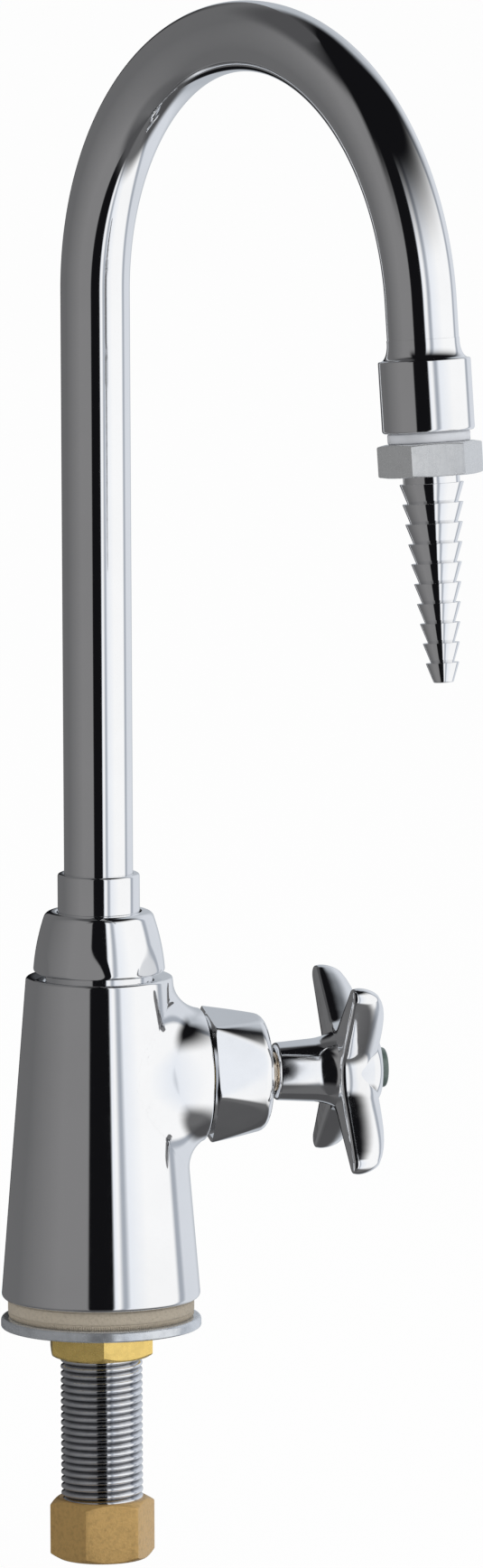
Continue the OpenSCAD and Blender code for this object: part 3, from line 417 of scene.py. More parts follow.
def node(tree, kind, inputs=None, **settings):
    """Adds a shader node with its settings, and sets or links its inputs by name or number"""
    made = tree.nodes.new("ShaderNode" + kind)
    for key, value in settings.items():
        setattr(made, key, value)
    for key, value in (inputs or {}).items():
        if isinstance(value, bpy.types.NodeSocket):
            tree.links.new(value, made.inputs[key])
        else:
            made.inputs[key].default_value = value
    return made


def ripple(tree, given):
    """Faint waviness of polished plating: a height for a bump, and a haze for the roughness"""
    place = given["Vector"]
    wave = node(tree, "TexNoise", {"Vector": place, "Scale": given["Wave Scale"], "Detail": 1.0})
    haze = node(tree, "TexNoise", {"Vector": place, "Scale": given["Haze Scale"], "Detail": 4.0})
    span = node(
        tree,
        "MapRange",
        {
            "Value": haze.outputs["Fac"],
            "From Min": 0.35,
            "From Max": 0.65,
            "To Min": given["Haze Low"],
            "To Max": given["Haze High"],
        },
    )
    return {"Height": wave.outputs["Fac"], "Haze": span.outputs["Result"]}


def marks(tree, given):
    """Height of the fine lines that a tool leaves, drawn out along one axis"""
    stretch = node(tree, "VectorMath", {0: given["Vector"], 1: given["Stretch"]}, operation="MULTIPLY")
    place = stretch.outputs["Vector"]
    lines = node(tree, "TexNoise", {"Vector": place, "Scale": given["Scale"], "Detail": 3.0})
    return {"Height": lines.outputs["Fac"]}


def patches(tree, given):
    """Cloudy patches, as of tarnish, spangle or pressed fibre, between a clear and a stained colour"""
    clouds = node(
        tree,
        "TexNoise",
        {"Vector": given["Vector"], "Scale": given["Scale"], "Detail": 6.0, "Roughness": 0.6},
    )
    mask = node(
        tree,
        "MapRange",
        {"Value": clouds.outputs["Fac"], "From Min": given["Low"], "From Max": given["High"]},
    )
    mix = node(
        tree,
        "Mix",
        {0: mask.outputs["Result"], 6: given["Clear"], 7: given["Stained"]},
        data_type="RGBA",
    )
    return {"Color": mix.outputs[2]}


# Shared node groups: what fills each, its number inputs, its other inputs and its outputs
SHARED = {
    "polish_ripple": (
        ripple,
        ("Wave Scale", "Haze Scale", "Haze Low", "Haze High"),
        {"Vector": "Vector"},
        {"Height": "Float", "Haze": "Float"},
    ),
    "tool_marks": (marks, ("Scale",), {"Vector": "Vector", "Stretch": "Vector"}, {"Height": "Float"}),
    "cloudy_patches": (
        patches,
        ("Scale", "Low", "High"),
        {"Vector": "Vector", "Clear": "Color", "Stained": "Color"},
        {"Color": "Color"},
    ),
}


def shared_group(name):
    """The shared node group of that name, made on its first use"""
    if name in bpy.data.node_groups:
        return bpy.data.node_groups[name]
    fill, numbers, others, outputs = SHARED[name]
    inputs = {**others, **dict.fromkeys(numbers, "Float")}
    tree = bpy.data.node_groups.new(name, "ShaderNodeTree")
    for way, sockets in (("INPUT", inputs), ("OUTPUT", outputs)):
        for socket, kind in sockets.items():
            tree.interface.new_socket(name=socket, in_out=way, socket_type="NodeSocket" + kind)
    given = tree.nodes.new("NodeGroupInput").outputs
    out = tree.nodes.new("NodeGroupOutput").inputs
    for socket, source in fill(tree, given).items():
        tree.links.new(source, out[socket])
    return tree


# Each finish: its material's name, plain shader values, patches (scale, share of the colour that is left,
# and the noise's span where it isn't the usual one), ripple (scales of wave and haze, lowest and highest
# haze), bump in millimetres, and where they apply its colour's name, tool marks (stretch along Z, scale)
# and how much of the colour is left in a thread's root, as painted shade
FINISHES = {
    "chrome": {
        "name": "polished_chrome", "shader": {"Metallic": 1.0}, "bump": 0.02,
        "patches": (30.0, 0.96), "ripple": (45.0, 350.0, 0.03, 0.06),
    },
    "cast_chrome": {
        "name": "cast_chrome", "shader": {"Metallic": 1.0}, "bump": 0.03, "colour": "chrome",
        "patches": (60.0, 0.94), "ripple": (150.0, 500.0, 0.04, 0.09),
    },
    "satin": {
        "name": "satin_chrome", "shader": {"Metallic": 0.7}, "bump": 0.03, "marks": (0.02, 600.0),
        "patches": (300.0, 0.94), "ripple": (200.0, 900.0, 0.2, 0.28),
    },
    # The shank's thread roots carry painted shade
    "shank": {
        "name": "plated_thread", "shader": {"Metallic": 1.0}, "bump": 0.01, "root_shade": 0.4,
        "patches": (220.0, 0.85), "ripple": (300.0, 900.0, 0.06, 0.14),
    },
    "brass": {
        "name": "cut_brass", "shader": {"Metallic": 0.8}, "bump": 0.04, "marks": (0.04, 1500.0),
        "patches": (240.0, 0.85), "ripple": (300.0, 700.0, 0.2, 0.34),
    },
    "stem": {
        "name": "plated_stem", "shader": {"Metallic": 1.0}, "bump": 0.04,
        "patches": (120.0, 0.75), "ripple": (300.0, 700.0, 0.1, 0.2),
    },
    "dull_brass": {
        "name": "dull_brass", "shader": {"Metallic": 0.62}, "bump": 0.05,
        "patches": (900.0, 0.8), "ripple": (1500.0, 2200.0, 0.28, 0.42),
    },
    "zinc": {
        "name": "zinc_steel", "shader": {"Metallic": 0.8}, "bump": 0.04,
        "patches": (180.0, 0.75, 0.5, 0.75), "ripple": (250.0, 500.0, 0.16, 0.3),
    },
    "fibre": {
        "name": "pressed_fibre", "shader": {"Specular IOR Level": 0.3}, "bump": 0.15,
        "patches": (1500.0, 0.82), "ripple": (1600.0, 1200.0, 0.5, 0.75),
    },
    "nylon": {
        "name": "white_nylon", "shader": {}, "bump": 0.03,
        "patches": (200.0, 0.93), "ripple": (400.0, 700.0, 0.3, 0.45),
    },
    "rubber": {
        "name": "seal_rubber", "shader": {"Specular IOR Level": 0.4}, "bump": 0.04,
        "patches": (500.0, 2.2), "ripple": (900.0, 600.0, 0.45, 0.65),
    },
    "button": {
        "name": "index_button", "shader": {"Coat Weight": 0.5, "Coat Roughness": 0.08}, "bump": 0.03,
        "patches": (250.0, 0.85), "ripple": (300.0, 500.0, 0.25, 0.35),
    },
}
PATCH_SPAN = (0.45, 0.7)


def blank_material(name):
    """A new material, its node tree and its Principled shader"""
    material = bpy.data.materials.new(name)
    material.use_nodes = True
    tree = material.node_tree
    return material, tree, next(n for n in tree.nodes if n.type == "BSDF_PRINCIPLED")


def rgba(rgb, share=1.0):
    return (rgb[0] * share, rgb[1] * share, rgb[2] * share, 1.0)


def painted_groove_shade(tree, place, tint, share):
    """Paints shade into a colour, darker from the shank thread's crest down to its root, by the distance from
    Z
    """
    foot = bpy.context.scene.tap_foot
    crest = foot.shank_d / 2
    flat = node(tree, "VectorMath", {0: place, 1: (1.0, 1.0, 0.0)}, operation="MULTIPLY")
    reach = node(tree, "VectorMath", {0: flat.outputs["Vector"]}, operation="LENGTH")
    span = node(
        tree,
        "MapRange",
        {
            "Value": reach.outputs["Value"],
            "From Min": crest - foot.thread_depth,
            "From Max": crest - 0.25 * MM,
            "To Min": share,
        },
    )
    dark = node(
        tree,
        "Mix",
        {0: 1.0, 6: tint, 7: span.outputs["Result"]},
        data_type="RGBA",
        blend_type="MULTIPLY",
    )
    return dark.outputs[2]


def make_finish(key):
    """Builds one finish: a Principled shader on object coordinates, fed by the shared groups"""
    made = FINISHES[key]
    material, tree, shader = blank_material(made["name"])
    material["finish"] = key
    for socket, value in made["shader"].items():
        shader.inputs[socket].default_value = value
    place = node(tree, "TexCoord").outputs["Object"]

    def effect(name, values):
        return node(tree, "Group", {"Vector": place, **values}, node_tree=shared_group(name)).outputs

    rgb = getattr(bpy.context.scene.tap_colours, made.get("colour", key))
    scale, share, *span = made["patches"]
    low, high = span or PATCH_SPAN
    clouds = {"Scale": scale, "Clear": rgba(rgb), "Stained": rgba(rgb, share), "Low": low, "High": high}
    tint = effect("cloudy_patches", clouds)["Color"]
    polish = effect("polish_ripple", dict(zip(SHARED["polish_ripple"][1], made["ripple"])))
    height = polish["Height"]
    if "marks" in made:
        along, scale = made["marks"]
        height = effect("tool_marks", {"Stretch": (1.0, 1.0, along), "Scale": scale})["Height"]
    # Painted shade in the thread's roots: the colour darkens from crest to root
    if "root_shade" in made:
        tint = painted_groove_shade(tree, place, tint, made["root_shade"])
    bump = node(tree, "Bump", {"Height": height, "Distance": made["bump"] * MM})
    tree.links.new(tint, shader.inputs["Base Color"])
    tree.links.new(polish["Haze"], shader.inputs["Roughness"])
    tree.links.new(bump.outputs["Normal"], shader.inputs["Normal"])
    return material


def finish(key):
    """The finish of that name, made on its first use"""
    for material in bpy.data.materials:
        if material.get("finish") == key:
            return material
    return make_finish(key)


# Pieces


class TAP_OT_gooseneck(bpy.types.Operator):
    """Bends the tube from the spout joint over to the outlet"""

    bl_idname = "tap.gooseneck"
    bl_label = "Gooseneck"

    def execute(self, context):
        sizes = context.scene.tap_spout
        s = Mm(sizes)
        in_socket = 6.0
        bm = bmesh.new()
        bmesh.ops.create_circle(bm, cap_ends=False, segments=120, radius=s.tube_d / 2)
        bmesh.ops.translate(bm, verts=bm.verts[:], vec=(0, 0, s.tube_foot))
        verts, ring = self.draw_out(bm, bm.edges[:], Vector((0, 0, s.bend_z - s.tube_foot)))
        bent = bmesh.ops.spin(
            bm,
            geom=verts + ring,
            cent=(s.bend_r, 0, s.bend_z),
            axis=(0, 1, 0),
            angle=sizes.bend_angle,
            steps=120,
        )["geom_last"]
        ring = only(bmesh.types.BMEdge, bent)
        way = Vector((math.sin(sizes.bend_angle), 0, math.cos(sizes.bend_angle)))
        self.draw_out(bm, ring, way * (s.outlet_run + in_socket))
        close_up(bm)
        bmesh.ops.solidify(bm, geom=bm.faces[:], thickness=s.tube_wall)
        bmesh.ops.recalc_face_normals(bm, faces=bm.faces[:])
        piece(bm, "bent_tube", "chrome", "spout", "gooseneck_tube", spout_turn(sizes))
        return {"FINISHED"}

    def draw_out(self, bm, ring, vec):
        verts, edges = extruded(bm, ring)
        bmesh.ops.translate(bm, verts=verts, vec=vec)
        return verts, edges


class TAP_OT_spout_joint(bpy.types.Operator):
    """Turns the ferrule and the bell-shaped spout nut with its six flats"""

    bl_idname = "tap.spout_joint"
    bl_label = "Spout joint"

    def execute(self, context):
        s = Mm(context.scene.tap_spout)
        self.ferrule(s)
        self.nut(s)
        return {"FINISHED"}

    def ferrule(self, s):
        """A collar on the tube's foot, with a flange inside the nut and a spigot inside the body"""
        tube_r, collar_r = s.tube_d / 2, s.ferrule_d / 2
        bore_r, spigot_r, flange_r = tube_r - 1.5, 8.9, 11.8
        flange_low, flange_high = 96.6, 99.4
        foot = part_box("spout_ferrule")[0].z / MM
        bm = lathe(
            [
                (bore_r, foot),
                (spigot_r, foot),
                (spigot_r, flange_low),
                (flange_r, flange_low),
                (flange_r, flange_high),
                (collar_r, flange_high),
                (collar_r, s.ferrule_top, 0.7),
                (tube_r + GAP, s.ferrule_top),
                (tube_r + GAP, s.tube_foot),
                (bore_r, s.tube_foot),
            ]
        )
        piece(bm, "tube_ferrule", "chrome", "spout", "spout_ferrule")

    def nut(self, s):
        """A bell with six flats, hollow for the body's neck and the ferrule's flange"""
        low, high = (corner.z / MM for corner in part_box("spout_nut"))
        foot_r, top_r, bulge = s.nut_d / 2, s.nut_top_d / 2, 0.57
        bell = [
            (foot_r - (foot_r - top_r) * t + bulge * 4 * t * (1 - t), low + (high - low) * t)
            for t in (k / 12 for k in range(13))
        ]
        bell[0] += (1.1,)
        bell[-1] += (1.5,)
        thread_r, room_r, lip_r = 13.65, 12.1, 10.7
        room_low, room_high = 96.0, 99.6
        hollow = [
            (lip_r, high, 0.3),
            (lip_r, room_high),
            (room_r, room_high),
            (room_r, room_low),
            (thread_r, room_low),
        ]
        bm = lathe([(thread_r, low, 0.4)] + bell + hollow, steps=360, row=0.35)
        shave_flats(bm, s.nut_flats, s.group.nut_clock, 0.35)
        piece(bm, "bell_nut", "chrome", "pillar", "spout_nut", sharp=60)


class TAP_OT_outlet(bpy.types.Operator):
    """Turns the socket, the white washer and the serrated nozzle"""

    bl_idname = "tap.outlet"
    bl_label = "Outlet"

    def execute(self, context):
        sizes = context.scene.tap_spout
        s = Mm(sizes)
        start = s.outlet_run
        place = on_outlet_axis(sizes, start)
        piece(self.socket(s), "socket_shell", "chrome", "spout", "outlet_socket", place)
        start += s.socket_len
        place = on_outlet_axis(sizes, start)
        piece(self.washer(s), "washer_ring", "nylon", "spout", "nozzle_washer", place)
        start += s.washer_t
        place = on_outlet_axis(sizes, start)
        nozzle = piece(
            self.nozzle(s), "barbed_nozzle", "satin", "spout", "serrated_nozzle", place, sharp=30
        )
        nozzle.data.materials.append(finish("chrome"))
        return {"FINISHED"}

    def socket(self, s):
        """A socket whose neck flares from the tube"""
        tube_r, r = s.tube_d / 2, s.socket_d / 2
        bore_r, seat = 8.0, 5.5
        neck_r, neck_top = tube_r + 0.1, -5.0
        flare, run = r - 0.4 - neck_r, 4.2
        neck = [
            (neck_r + flare * (1 - math.cos(a)), run * (math.sin(a) - 1))
            for a in (math.pi / 2 * k / 12 for k in range(12))
        ]
        top = [(tube_r - 0.1, neck_top), (neck_r, neck_top, 0.04)]
        shell = [
            (r, 0.0, 0.4),
            (r, s.socket_len, 0.8),
            (bore_r, s.socket_len),
            (bore_r, seat),
            (tube_r + GAP, seat),
        ]
        return lathe(top + neck + shell)

    def washer(self, s):
        r, hole = s.washer_d / 2, 8.0
        return lathe([(hole, 0.0), (r, 0.0, 0.5), (r, s.washer_t, 0.5), (hole, s.washer_t)])

    def nozzle(self, s):
        """A hexagon with the barbs below it, in the second finish, and a spigot above it"""
        count = s.group.barbs
        bore_r, jet_r, neck_r, spigot_r = 5.4, 1.8, 6.9, 7.9
        root, neck_end, spigot_top = s.hex_h - 2.0, s.hex_h + 1.7, -9.6
        bm = hexagon(s.hex_flats, s.hex_h, bore_r, s.group.hex_clock, chamfer=10.0)
        profile = [(jet_r, root), (neck_r, root), (neck_r, neck_end)]
        for k in range(count):
            rim = (s.barb_first_d + (s.barb_last_d - s.barb_first_d) * k / (count - 1)) / 2
            top = neck_end + k * s.barb_pitch
            profile += [(rim, top, 0.18), (rim - s.barb_drop / 2, top + s.barb_pitch)]
        profile[-1] += (0.3,)
        profile.append((jet_r, neck_end + count * s.barb_pitch, 0.3))
        barbs = lathe(profile, steps=96)
        for face in barbs.faces:
            face.material_index = 1
        add(bm, barbs)
        spigot = [(bore_r, spigot_top), (spigot_r, spigot_top, 0.5), (spigot_r, 1.0), (bore_r, 1.0)]
        return add(bm, lathe(spigot, steps=96))


class TAP_OT_body(bpy.types.Operator):
    """Turns the cone of the body and blends the side boss into it"""

    bl_idname = "tap.body"
    bl_label = "Body"

    def execute(self, context):
        s = Mm(context.scene.tap_body)
        shank_r = context.scene.tap_foot.shank_d / MM / 2 + GAP
        neck_r, neck_top = s.neck_d / 2, 96.0
        water_r, water_low, water_high = 9.0, 25.0, 76.0
        bm = lathe(
            [
                (shank_r, s.z0),
                (s.base_d / 2, s.z0, 1.3),
                (s.top_d / 2, s.z1, 0.7),
                (neck_r, s.z1),
                (neck_r, neck_top, 0.5),
                (water_r, neck_top),
                (water_r, water_high),
                (0.0, water_high),
                (0.0, water_low),
                (shank_r, water_low),
            ],
            steps=288,
            row=1.5,
        )
        inside = [f for f in bm.faces if self.in_boss(f.calc_center_median(), s)]
        bmesh.ops.delete(bm, geom=inside, context="FACES")
        add(bm, self.boss(s))
        piece(bm, "polished_body", "chrome", "pillar", "tap_body", sharp=45)
        return {"FINISHED"}

    def in_boss(self, point, s):
        """Whether a point of the cone lies inside the boss, clear of its wall"""
        front, wall = 10.0, 2.0
        return point.x > front and math.hypot(point.y, point.z - s.valve_z) < s.boss_d / 2 - wall

    def boss(self, s):
        """The boss as rings round the valve's axis: bore, rim, wall, blend and an edge on the cone"""
        r, reach, bore = s.boss_d / 2, s.boss_x, s.boss_bore_d / 2
        sides = 180
        rim = 0.7

        def cone(out, turn):
            """How far the cone stands out along the valve's axis, or a place far behind it beyond its side"""
            level = s.valve_z - out * math.cos(turn)
            cone_r = s.base_d / 2 + (s.top_d - s.base_d) / 2 * (level - s.z0) / (s.z1 - s.z0)
            room = cone_r**2 - (out * math.sin(turn)) ** 2
            return math.sqrt(room) if room > 0 else -s.base_d

        foot = (r, reach - rim)

        def spots(out, blend, count):
            """Places on the cone where a ball may touch it"""
            low = max(r - 1.0, out - blend)
            return [low + 2 * blend * k / count for k in range(count + 1)]

        def clear(out, x, blend, turn):
            """How far a ball at that place stands off the cone"""
            return min(math.hypot(p - out, cone(p, turn) - x) for p in spots(out, blend, 40)) - blend

        def ball(turn):
            """Middle of the blend's ball, and the directions in which it meets the boss and the cone"""
            side, most = s.group.boss_side_draft, s.group.boss_draft
            draft = side + (most - side) * math.cos(turn) ** 2
            blend = s.boss_blend + (s.boss_side_blend - s.boss_blend) * math.sin(turn) ** 6

            def rim_ball(a):
                """A ball's middle when it touches the rim, in a direction from it"""
                return foot[0] + blend * math.cos(a), foot[1] + blend * math.sin(a)

            def wall_ball(x):
                """A ball's middle when it touches the tapered wall"""
                return r + (foot[1] - x) * math.tan(draft) + blend / math.cos(draft), x

            top = foot[1] + blend * math.sin(draft)
            if clear(*wall_ball(top), blend, turn) >= 0:
                place, low, high = wall_ball, 0.0, top
            else:
                place, low, high = rim_ball, draft, math.pi / 2
            for _ in range(24):
                mid = (low + high) / 2
                if clear(*place(mid), blend, turn) < 0:
                    low = mid
                else:
                    high = mid
            out, x = place(high)
            touch = min(spots(out, blend, 200), key=lambda p: math.hypot(p - out, cone(p, turn) - x))
            start = high if place is rim_ball else draft
            return out, x, blend, start, math.atan2(x - cone(touch, turn), out - touch)

        half = [ball(math.tau * i / sides) for i in range(sides // 2 + 1)]
        balls = [half[min(i, sides - i)] for i in range(sides)]

        def at(out, x, turn):
            return Vector((out * math.cos(turn), out * math.sin(turn), x))

        def blend_point(share):
            def place(i):
                out, x, blend, start, end = balls[i]
                a = start + (end - start) * share
                return at(out - blend * math.cos(a), x - blend * math.sin(a), math.tau * i / sides)

            return place

        def skirt_point(run, lift):
            def place(i):
                out, _, blend, _, end = balls[i]
                turn = math.tau * i / sides
                edge = out - blend * math.cos(end) + run
                return at(edge, cone(edge, turn) + lift, turn)

            return place

        def ring_point(out, x):
            return lambda i: at(out, x, math.tau * i / sides)

        bore_end = 5.0
        rings = [(bore, bore_end), (bore, reach - 0.3), (bore + 0.3, reach), (r - rim, reach)]
        rings += [
            (r - rim + rim * math.sin(a), reach - rim + rim * math.cos(a))
            for a in (math.radians(22.5 * k) for k in range(1, 4))
        ]
        places = [ring_point(*p) for p in rings]
        places += [blend_point(k / 12) for k in range(13)]
        # The blend's edge runs on over the cone and then dips under its skin
        places += [skirt_point(0.6, 0.01), skirt_point(1.2, -0.05)]
        bm = skin(sides, places)
        bmesh.ops.recalc_face_normals(bm, faces=bm.faces[:])
        rim_face = max(bm.faces, key=lambda f: f.calc_center_median().z)
        if rim_face.normal.z < 0:
            bmesh.ops.reverse_faces(bm, faces=bm.faces[:])
        bm.transform(on_valve_axis(0, s.valve_z))
        return bm


class TAP_OT_bonnet(bpy.types.Operator):
    """Turns the domed bonnet and shaves its six leaning flats"""

    bl_idname = "tap.bonnet"
    bl_label = "Bonnet"

    def execute(self, context):
        sizes = context.scene.tap_body
        s = Mm(sizes)
        stem_r, back = 4.9, 0.6
        end = s.collar_len + s.bonnet_len
        narrow = s.bonnet_d / 2 - s.bonnet_len * math.tan(sizes.bonnet_taper)
        bm = lathe(
            [
                (stem_r, back),
                (s.collar_d / 2, back),
                (s.collar_d / 2, s.collar_len),
                (s.bonnet_d / 2, s.collar_len, 0.4),
                (narrow, end, 2.3),
                (stem_r, end, 0.4),
            ],
            steps=360,
            row=0.3,
        )
        shave_flats(bm, s.bonnet_flats, sizes.bonnet_clock, 0.4, s.collar_len, sizes.bonnet_lean)
        place = on_valve_axis(s.boss_x, s.valve_z)
        piece(bm, "domed_bonnet", "cast_chrome", "pillar", "bonnet_nut", place, sharp=60)
        return {"FINISHED"}


class TAP_OT_handle(bpy.types.Operator):
    """Shapes the cross handle from a star of four arms on a flared hub, with its index button"""

    bl_idname = "tap.handle"
    bl_label = "Handle"

    def execute(self, context):
        sizes = context.scene.tap_body
        s = Mm(sizes)
        bm = self.star(s, sizes.arm_taper)
        bmesh.ops.translate(bm, verts=bm.verts[:], vec=(0, 0, s.arm_back))
        add(bm, self.hub(s))
        place = on_valve_axis(s.hub_x, s.valve_z)
        piece(bm, "star_handle", "cast_chrome", "handle", "cross_handle", place, sharp=38)
        piece(self.button(s), "button_cap", "button", "handle", "index_button", place)
        return {"FINISHED"}

    def hub(self, s):
        """The hub from its recess to the arms, and the front's middle with a hole for the button"""
        recess_r, recess = s.hub_recess_d / 2, 2.7
        core_r, middle_r = 9.9, s.front_d / 2
        hole_r, hole_end = s.button_d / 2 + GAP, s.front_x - 2.0
        return lathe(
            [
                (0.0, recess),
                (recess_r, recess),
                (recess_r, 0.0, 0.6),
                (s.hub_d / 2, 0.0, 0.9),
                (s.hub_root_d / 2, s.arm_back - 2.0, 3.0),
                (core_r, s.arm_back + 0.8),
                (core_r, s.arm_back + s.arm_side_h),
                (middle_r + 1.6, s.front_x - 1.6, 1.5),
                (middle_r - 0.6, s.front_x, 0.9),
                (hole_r, s.front_x, 0.3),
                (hole_r, hole_end),
                (0.0, hole_end),
            ],
            steps=160,
        )

    def button(self, s):
        """A flat cap with a low rim"""
        r, back, face = s.button_d / 2, s.front_x - 1.6, s.front_x + s.button_out
        return lathe(
            [
                (0.0, back),
                (r, back),
                (r, face, 0.7),
                (r - 0.95, face + 0.02, 0.2),
                (r - 1.25, face - 0.25, 0.2),
                (0.0, face - 0.1),
            ],
            steps=96,
        )

    def star(self, s, taper):
        """Rings of the star's outline, drawn in towards the arms' middle lines as they rise"""
        tip_r, web_r = s.arm_tip_r, s.arm_web_r
        tip_x = s.arm_reach - tip_r
        web_c = (tip_x * math.sin(taper) + tip_r + web_r) / (math.sin(taper) + math.cos(taper))
        half = []
        for k in range(9):
            a = math.radians(-135) + (math.pi / 4 - taper) * k / 8
            half.append((web_c, web_c, web_r, a, web_c / -math.sin(a) - web_r))
        end = math.pi / 2 - taper
        side = -math.pi / 2 - taper
        root = (web_c + web_r * math.cos(side), web_c + web_r * math.sin(side))
        tip = (tip_x + tip_r * math.cos(end), tip_r * math.sin(end))
        for k in range(1, 8):
            x = root[0] + (tip[0] - root[0]) * k / 8
            y = root[1] + (tip[1] - root[1]) * k / 8
            half.append((x, y, 0.0, side, y / math.cos(taper)))
        for k in range(9):
            half.append((tip_x, 0.0, -tip_r, end * (1 - k / 8) + math.pi, tip_r))
        count = 2 * (len(half) - 1)

        def spot(i, share, inset):
            """The i-th outline point, set in and drawn in by a share of its way to the arm's middle line"""
            arm, j = divmod(i, count)
            upper = j > count // 2
            x, y, arc_r, a, depth = half[count - j if upper else j]
            run = arc_r + inset + (depth - inset) * share
            x, y = x + run * math.cos(a), y + run * math.sin(a)
            y = max(0.0, y) * (1 if upper else -1)
            turn = math.radians(45 + 90 * arm)
            return x * math.cos(turn) - y * math.sin(turn), x * math.sin(turn) + y * math.cos(turn)

        top = s.arm_side_h + s.arm_crown_h

        def level(share, rise, inset=0.0):
            def place(i):
                x, y = spot(i, share, inset)
                out = math.hypot(x, y) / s.arm_reach
                part = rise / top
                lift = s.arm_lean * out * (1 - part) - (s.arm_fall - s.arm_lean) * part * out**4
                return Vector((x, y, rise + lift - s.arm_thumb * part * out**8))

            return place

        edge, undercut = 0.8, 0.4

        def swell(rise):
            """How far an arm's side is set in below its widest line"""
            return undercut * (1 - rise / s.arm_side_h) ** 2

        places = [level(1.0, 0.0), level(0.5, 0.0)]
        for k in range(5):
            a = math.pi / 2 * k / 4
            rise = edge * (1 - math.cos(a))
            places.append(level(0.0, rise, swell(rise) + edge * (1 - math.sin(a))))
        for k in range(1, 5):
            rise = edge + (s.arm_side_h - edge) * k / 4
            places.append(level(0.0, rise, swell(rise)))
        for k in range(1, 17):
            a = math.pi / 2 * k / 16
            places.append(level(1 - math.cos(a), s.arm_side_h + s.arm_crown_h * math.sin(a)))
        bm = skin(4 * count, places)
        close_up(bm)
        return bm


class TAP_OT_below_deck(bpy.types.Operator):
    """Makes the gasket, the clamp washer, the threaded shank and the two brass nuts"""

    bl_idname = "tap.below_deck"
    bl_label = "Below the deck"

    def execute(self, context):
        sizes = context.scene.tap_foot
        s = Mm(sizes)
        hole = s.shank_d / 2 + 0.3
        piece(self.gasket(s, hole), "ribbed_gasket", "fibre", "pillar", "base_gasket")
        r, under = s.washer_d / 2, -s.washer_t
        washer = lathe([(hole, under, 0.3), (r, under, 0.5), (r, 0.0, 1.0), (hole, 0.0, 0.3)], steps=180)
        piece(washer, "pressed_washer", "zinc", "clamp", "clamp_washer")
        piece(self.shank(s), "threaded_shank", "shank", "pillar", "inlet_shank", sharp=70)
        clear_of_washer = 0.03
        lock = hexagon(s.lock_flats, s.lock_t - clear_of_washer, s.shank_d / 2 + GAP, sizes.lock_clock)
        place = Matrix.Translation((0, 0, -s.washer_t - s.lock_t))
        piece(lock, "brass_lock_nut", "brass", "lock_nut", "lock_nut", place, sharp=25)
        height = s.coupling_foot - s.coupling_top
        coupling = hexagon(s.coupling_flats, height, s.riser_hole_d / 2 + 0.3, 0.0, edge=0.5)
        place = Matrix.Translation((0, 0, -s.coupling_foot))
        piece(
            coupling,
            "brass_coupling_nut",
            "dull_brass",
            "coupling_nut",
            "coupling_nut",
            place,
            sharp=25,
        )
        return {"FINISHED"}

    def gasket(self, s, hole):
        """A ring with a groove round it, finely ribbed below the groove"""
        r, top = s.gasket_d / 2, s.gasket_t
        ribs, rib_depth = s.group.gasket_ribs, 0.12
        rib_low, rib_high = 0.1, 1.0
        bm = lathe(
            [
                (hole, 0.0),
                (r - 0.3, 0.0, 0.3),
                (r, 0.9, 0.3),
                (r - 0.35, 1.2, 0.15),
                (r, 1.5, 0.3),
                (r, top - 0.3, 0.3),
                (r - 0.4, top, 0.2),
                (hole, top),
            ],
            steps=4 * ribs,
        )
        for vert in bm.verts:
            if rib_low < vert.co.z < rib_high and radius(vert.co) > r - 1.0:
                rib = math.cos(ribs * math.atan2(vert.co.y, vert.co.x))
                vert.co.xy *= 1 + rib_depth * (rib - 1) / r
        return bm

    def shank(self, s):
        """A plain core with a thread wound on it, from inside the gasket down to the lower end"""
        crest, root = s.shank_d / 2 - 0.02, s.shank_d / 2 - s.thread_depth
        bore, end = s.shank_bore_d / 2, -s.shank_drop
        plain_from = 4.0
        bm = lathe(
            [
                (bore, end, 0.3),
                (root - 0.2, end, 0.3),
                (root, end + 0.6),
                (root, plain_from - 0.6),
                (crest, plain_from),
                (crest, s.shank_top, 0.5),
                (bore, s.shank_top),
            ],
            steps=120,
        )
        thread = bmesh.new()
        pitch, steps = s.thread_pitch, 64
        foot = end + 0.4
        rise = [(root, 0.0), (crest - 0.2, 0.27), (crest - 0.08, 0.32), (crest - 0.02, 0.4)]
        rows = rise + [(crest, 0.5)] + [(r, 1.0 - share) for r, share in reversed(rise)]
        verts = [thread.verts.new((r, 0.0, foot + pitch * share)) for r, share in rows]
        edges = [thread.edges.new(pair) for pair in zip(verts, verts[1:])]
        bmesh.ops.spin(
            thread,
            geom=verts + edges,
            cent=(0, 0, 0),
            axis=(0, 0, 1),
            angle=math.tau,
            steps=steps,
            dvec=(0, 0, pitch / steps),
        )
        turn = thread.verts[:] + thread.edges[:] + thread.faces[:]
        for k in range(1, int((plain_from - 0.4 - foot) / pitch)):
            made = bmesh.ops.duplicate(thread, geom=turn)["geom"]
            verts = only(bmesh.types.BMVert, made)
            bmesh.ops.translate(thread, verts=verts, vec=(0, 0, k * pitch))
        close_up(thread)
        outer = max(thread.faces, key=lambda f: radius(f.calc_center_median()))
        if outer.normal.xy.dot(outer.calc_center_median().xy) < 0:
            bmesh.ops.reverse_faces(thread, faces=thread.faces[:])
        return add(bm, thread)


class TAP_OT_inner_parts(bpy.types.Operator):
    """Gives the valve's inner parts their finishes"""

    bl_idname = "tap.inner_parts"
    bl_label = "Inner parts"

    NODES = {
        "brass": (
            "valve_seat",
            "cartridge_sleeve",
            "retaining_ring",
            "washer_carrier",
            "seat_washer_screw",
        ),
        "stem": ("valve_spindle",),
        "satin": ("handle_screw",),
        "fibre": ("cartridge_gasket",),
        "nylon": ("spindle_thrust_washer", "spout_thrust_washer"),
        "rubber": ("spout_o_rings", "spindle_o_rings", "seat_washer", "riser_washer"),
    }

    def execute(self, context):
        for key, names in self.NODES.items():
            for name in names:
                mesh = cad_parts[name].data
                mesh.materials.clear()
                mesh.materials.append(finish(key))
        return {"FINISHED"}


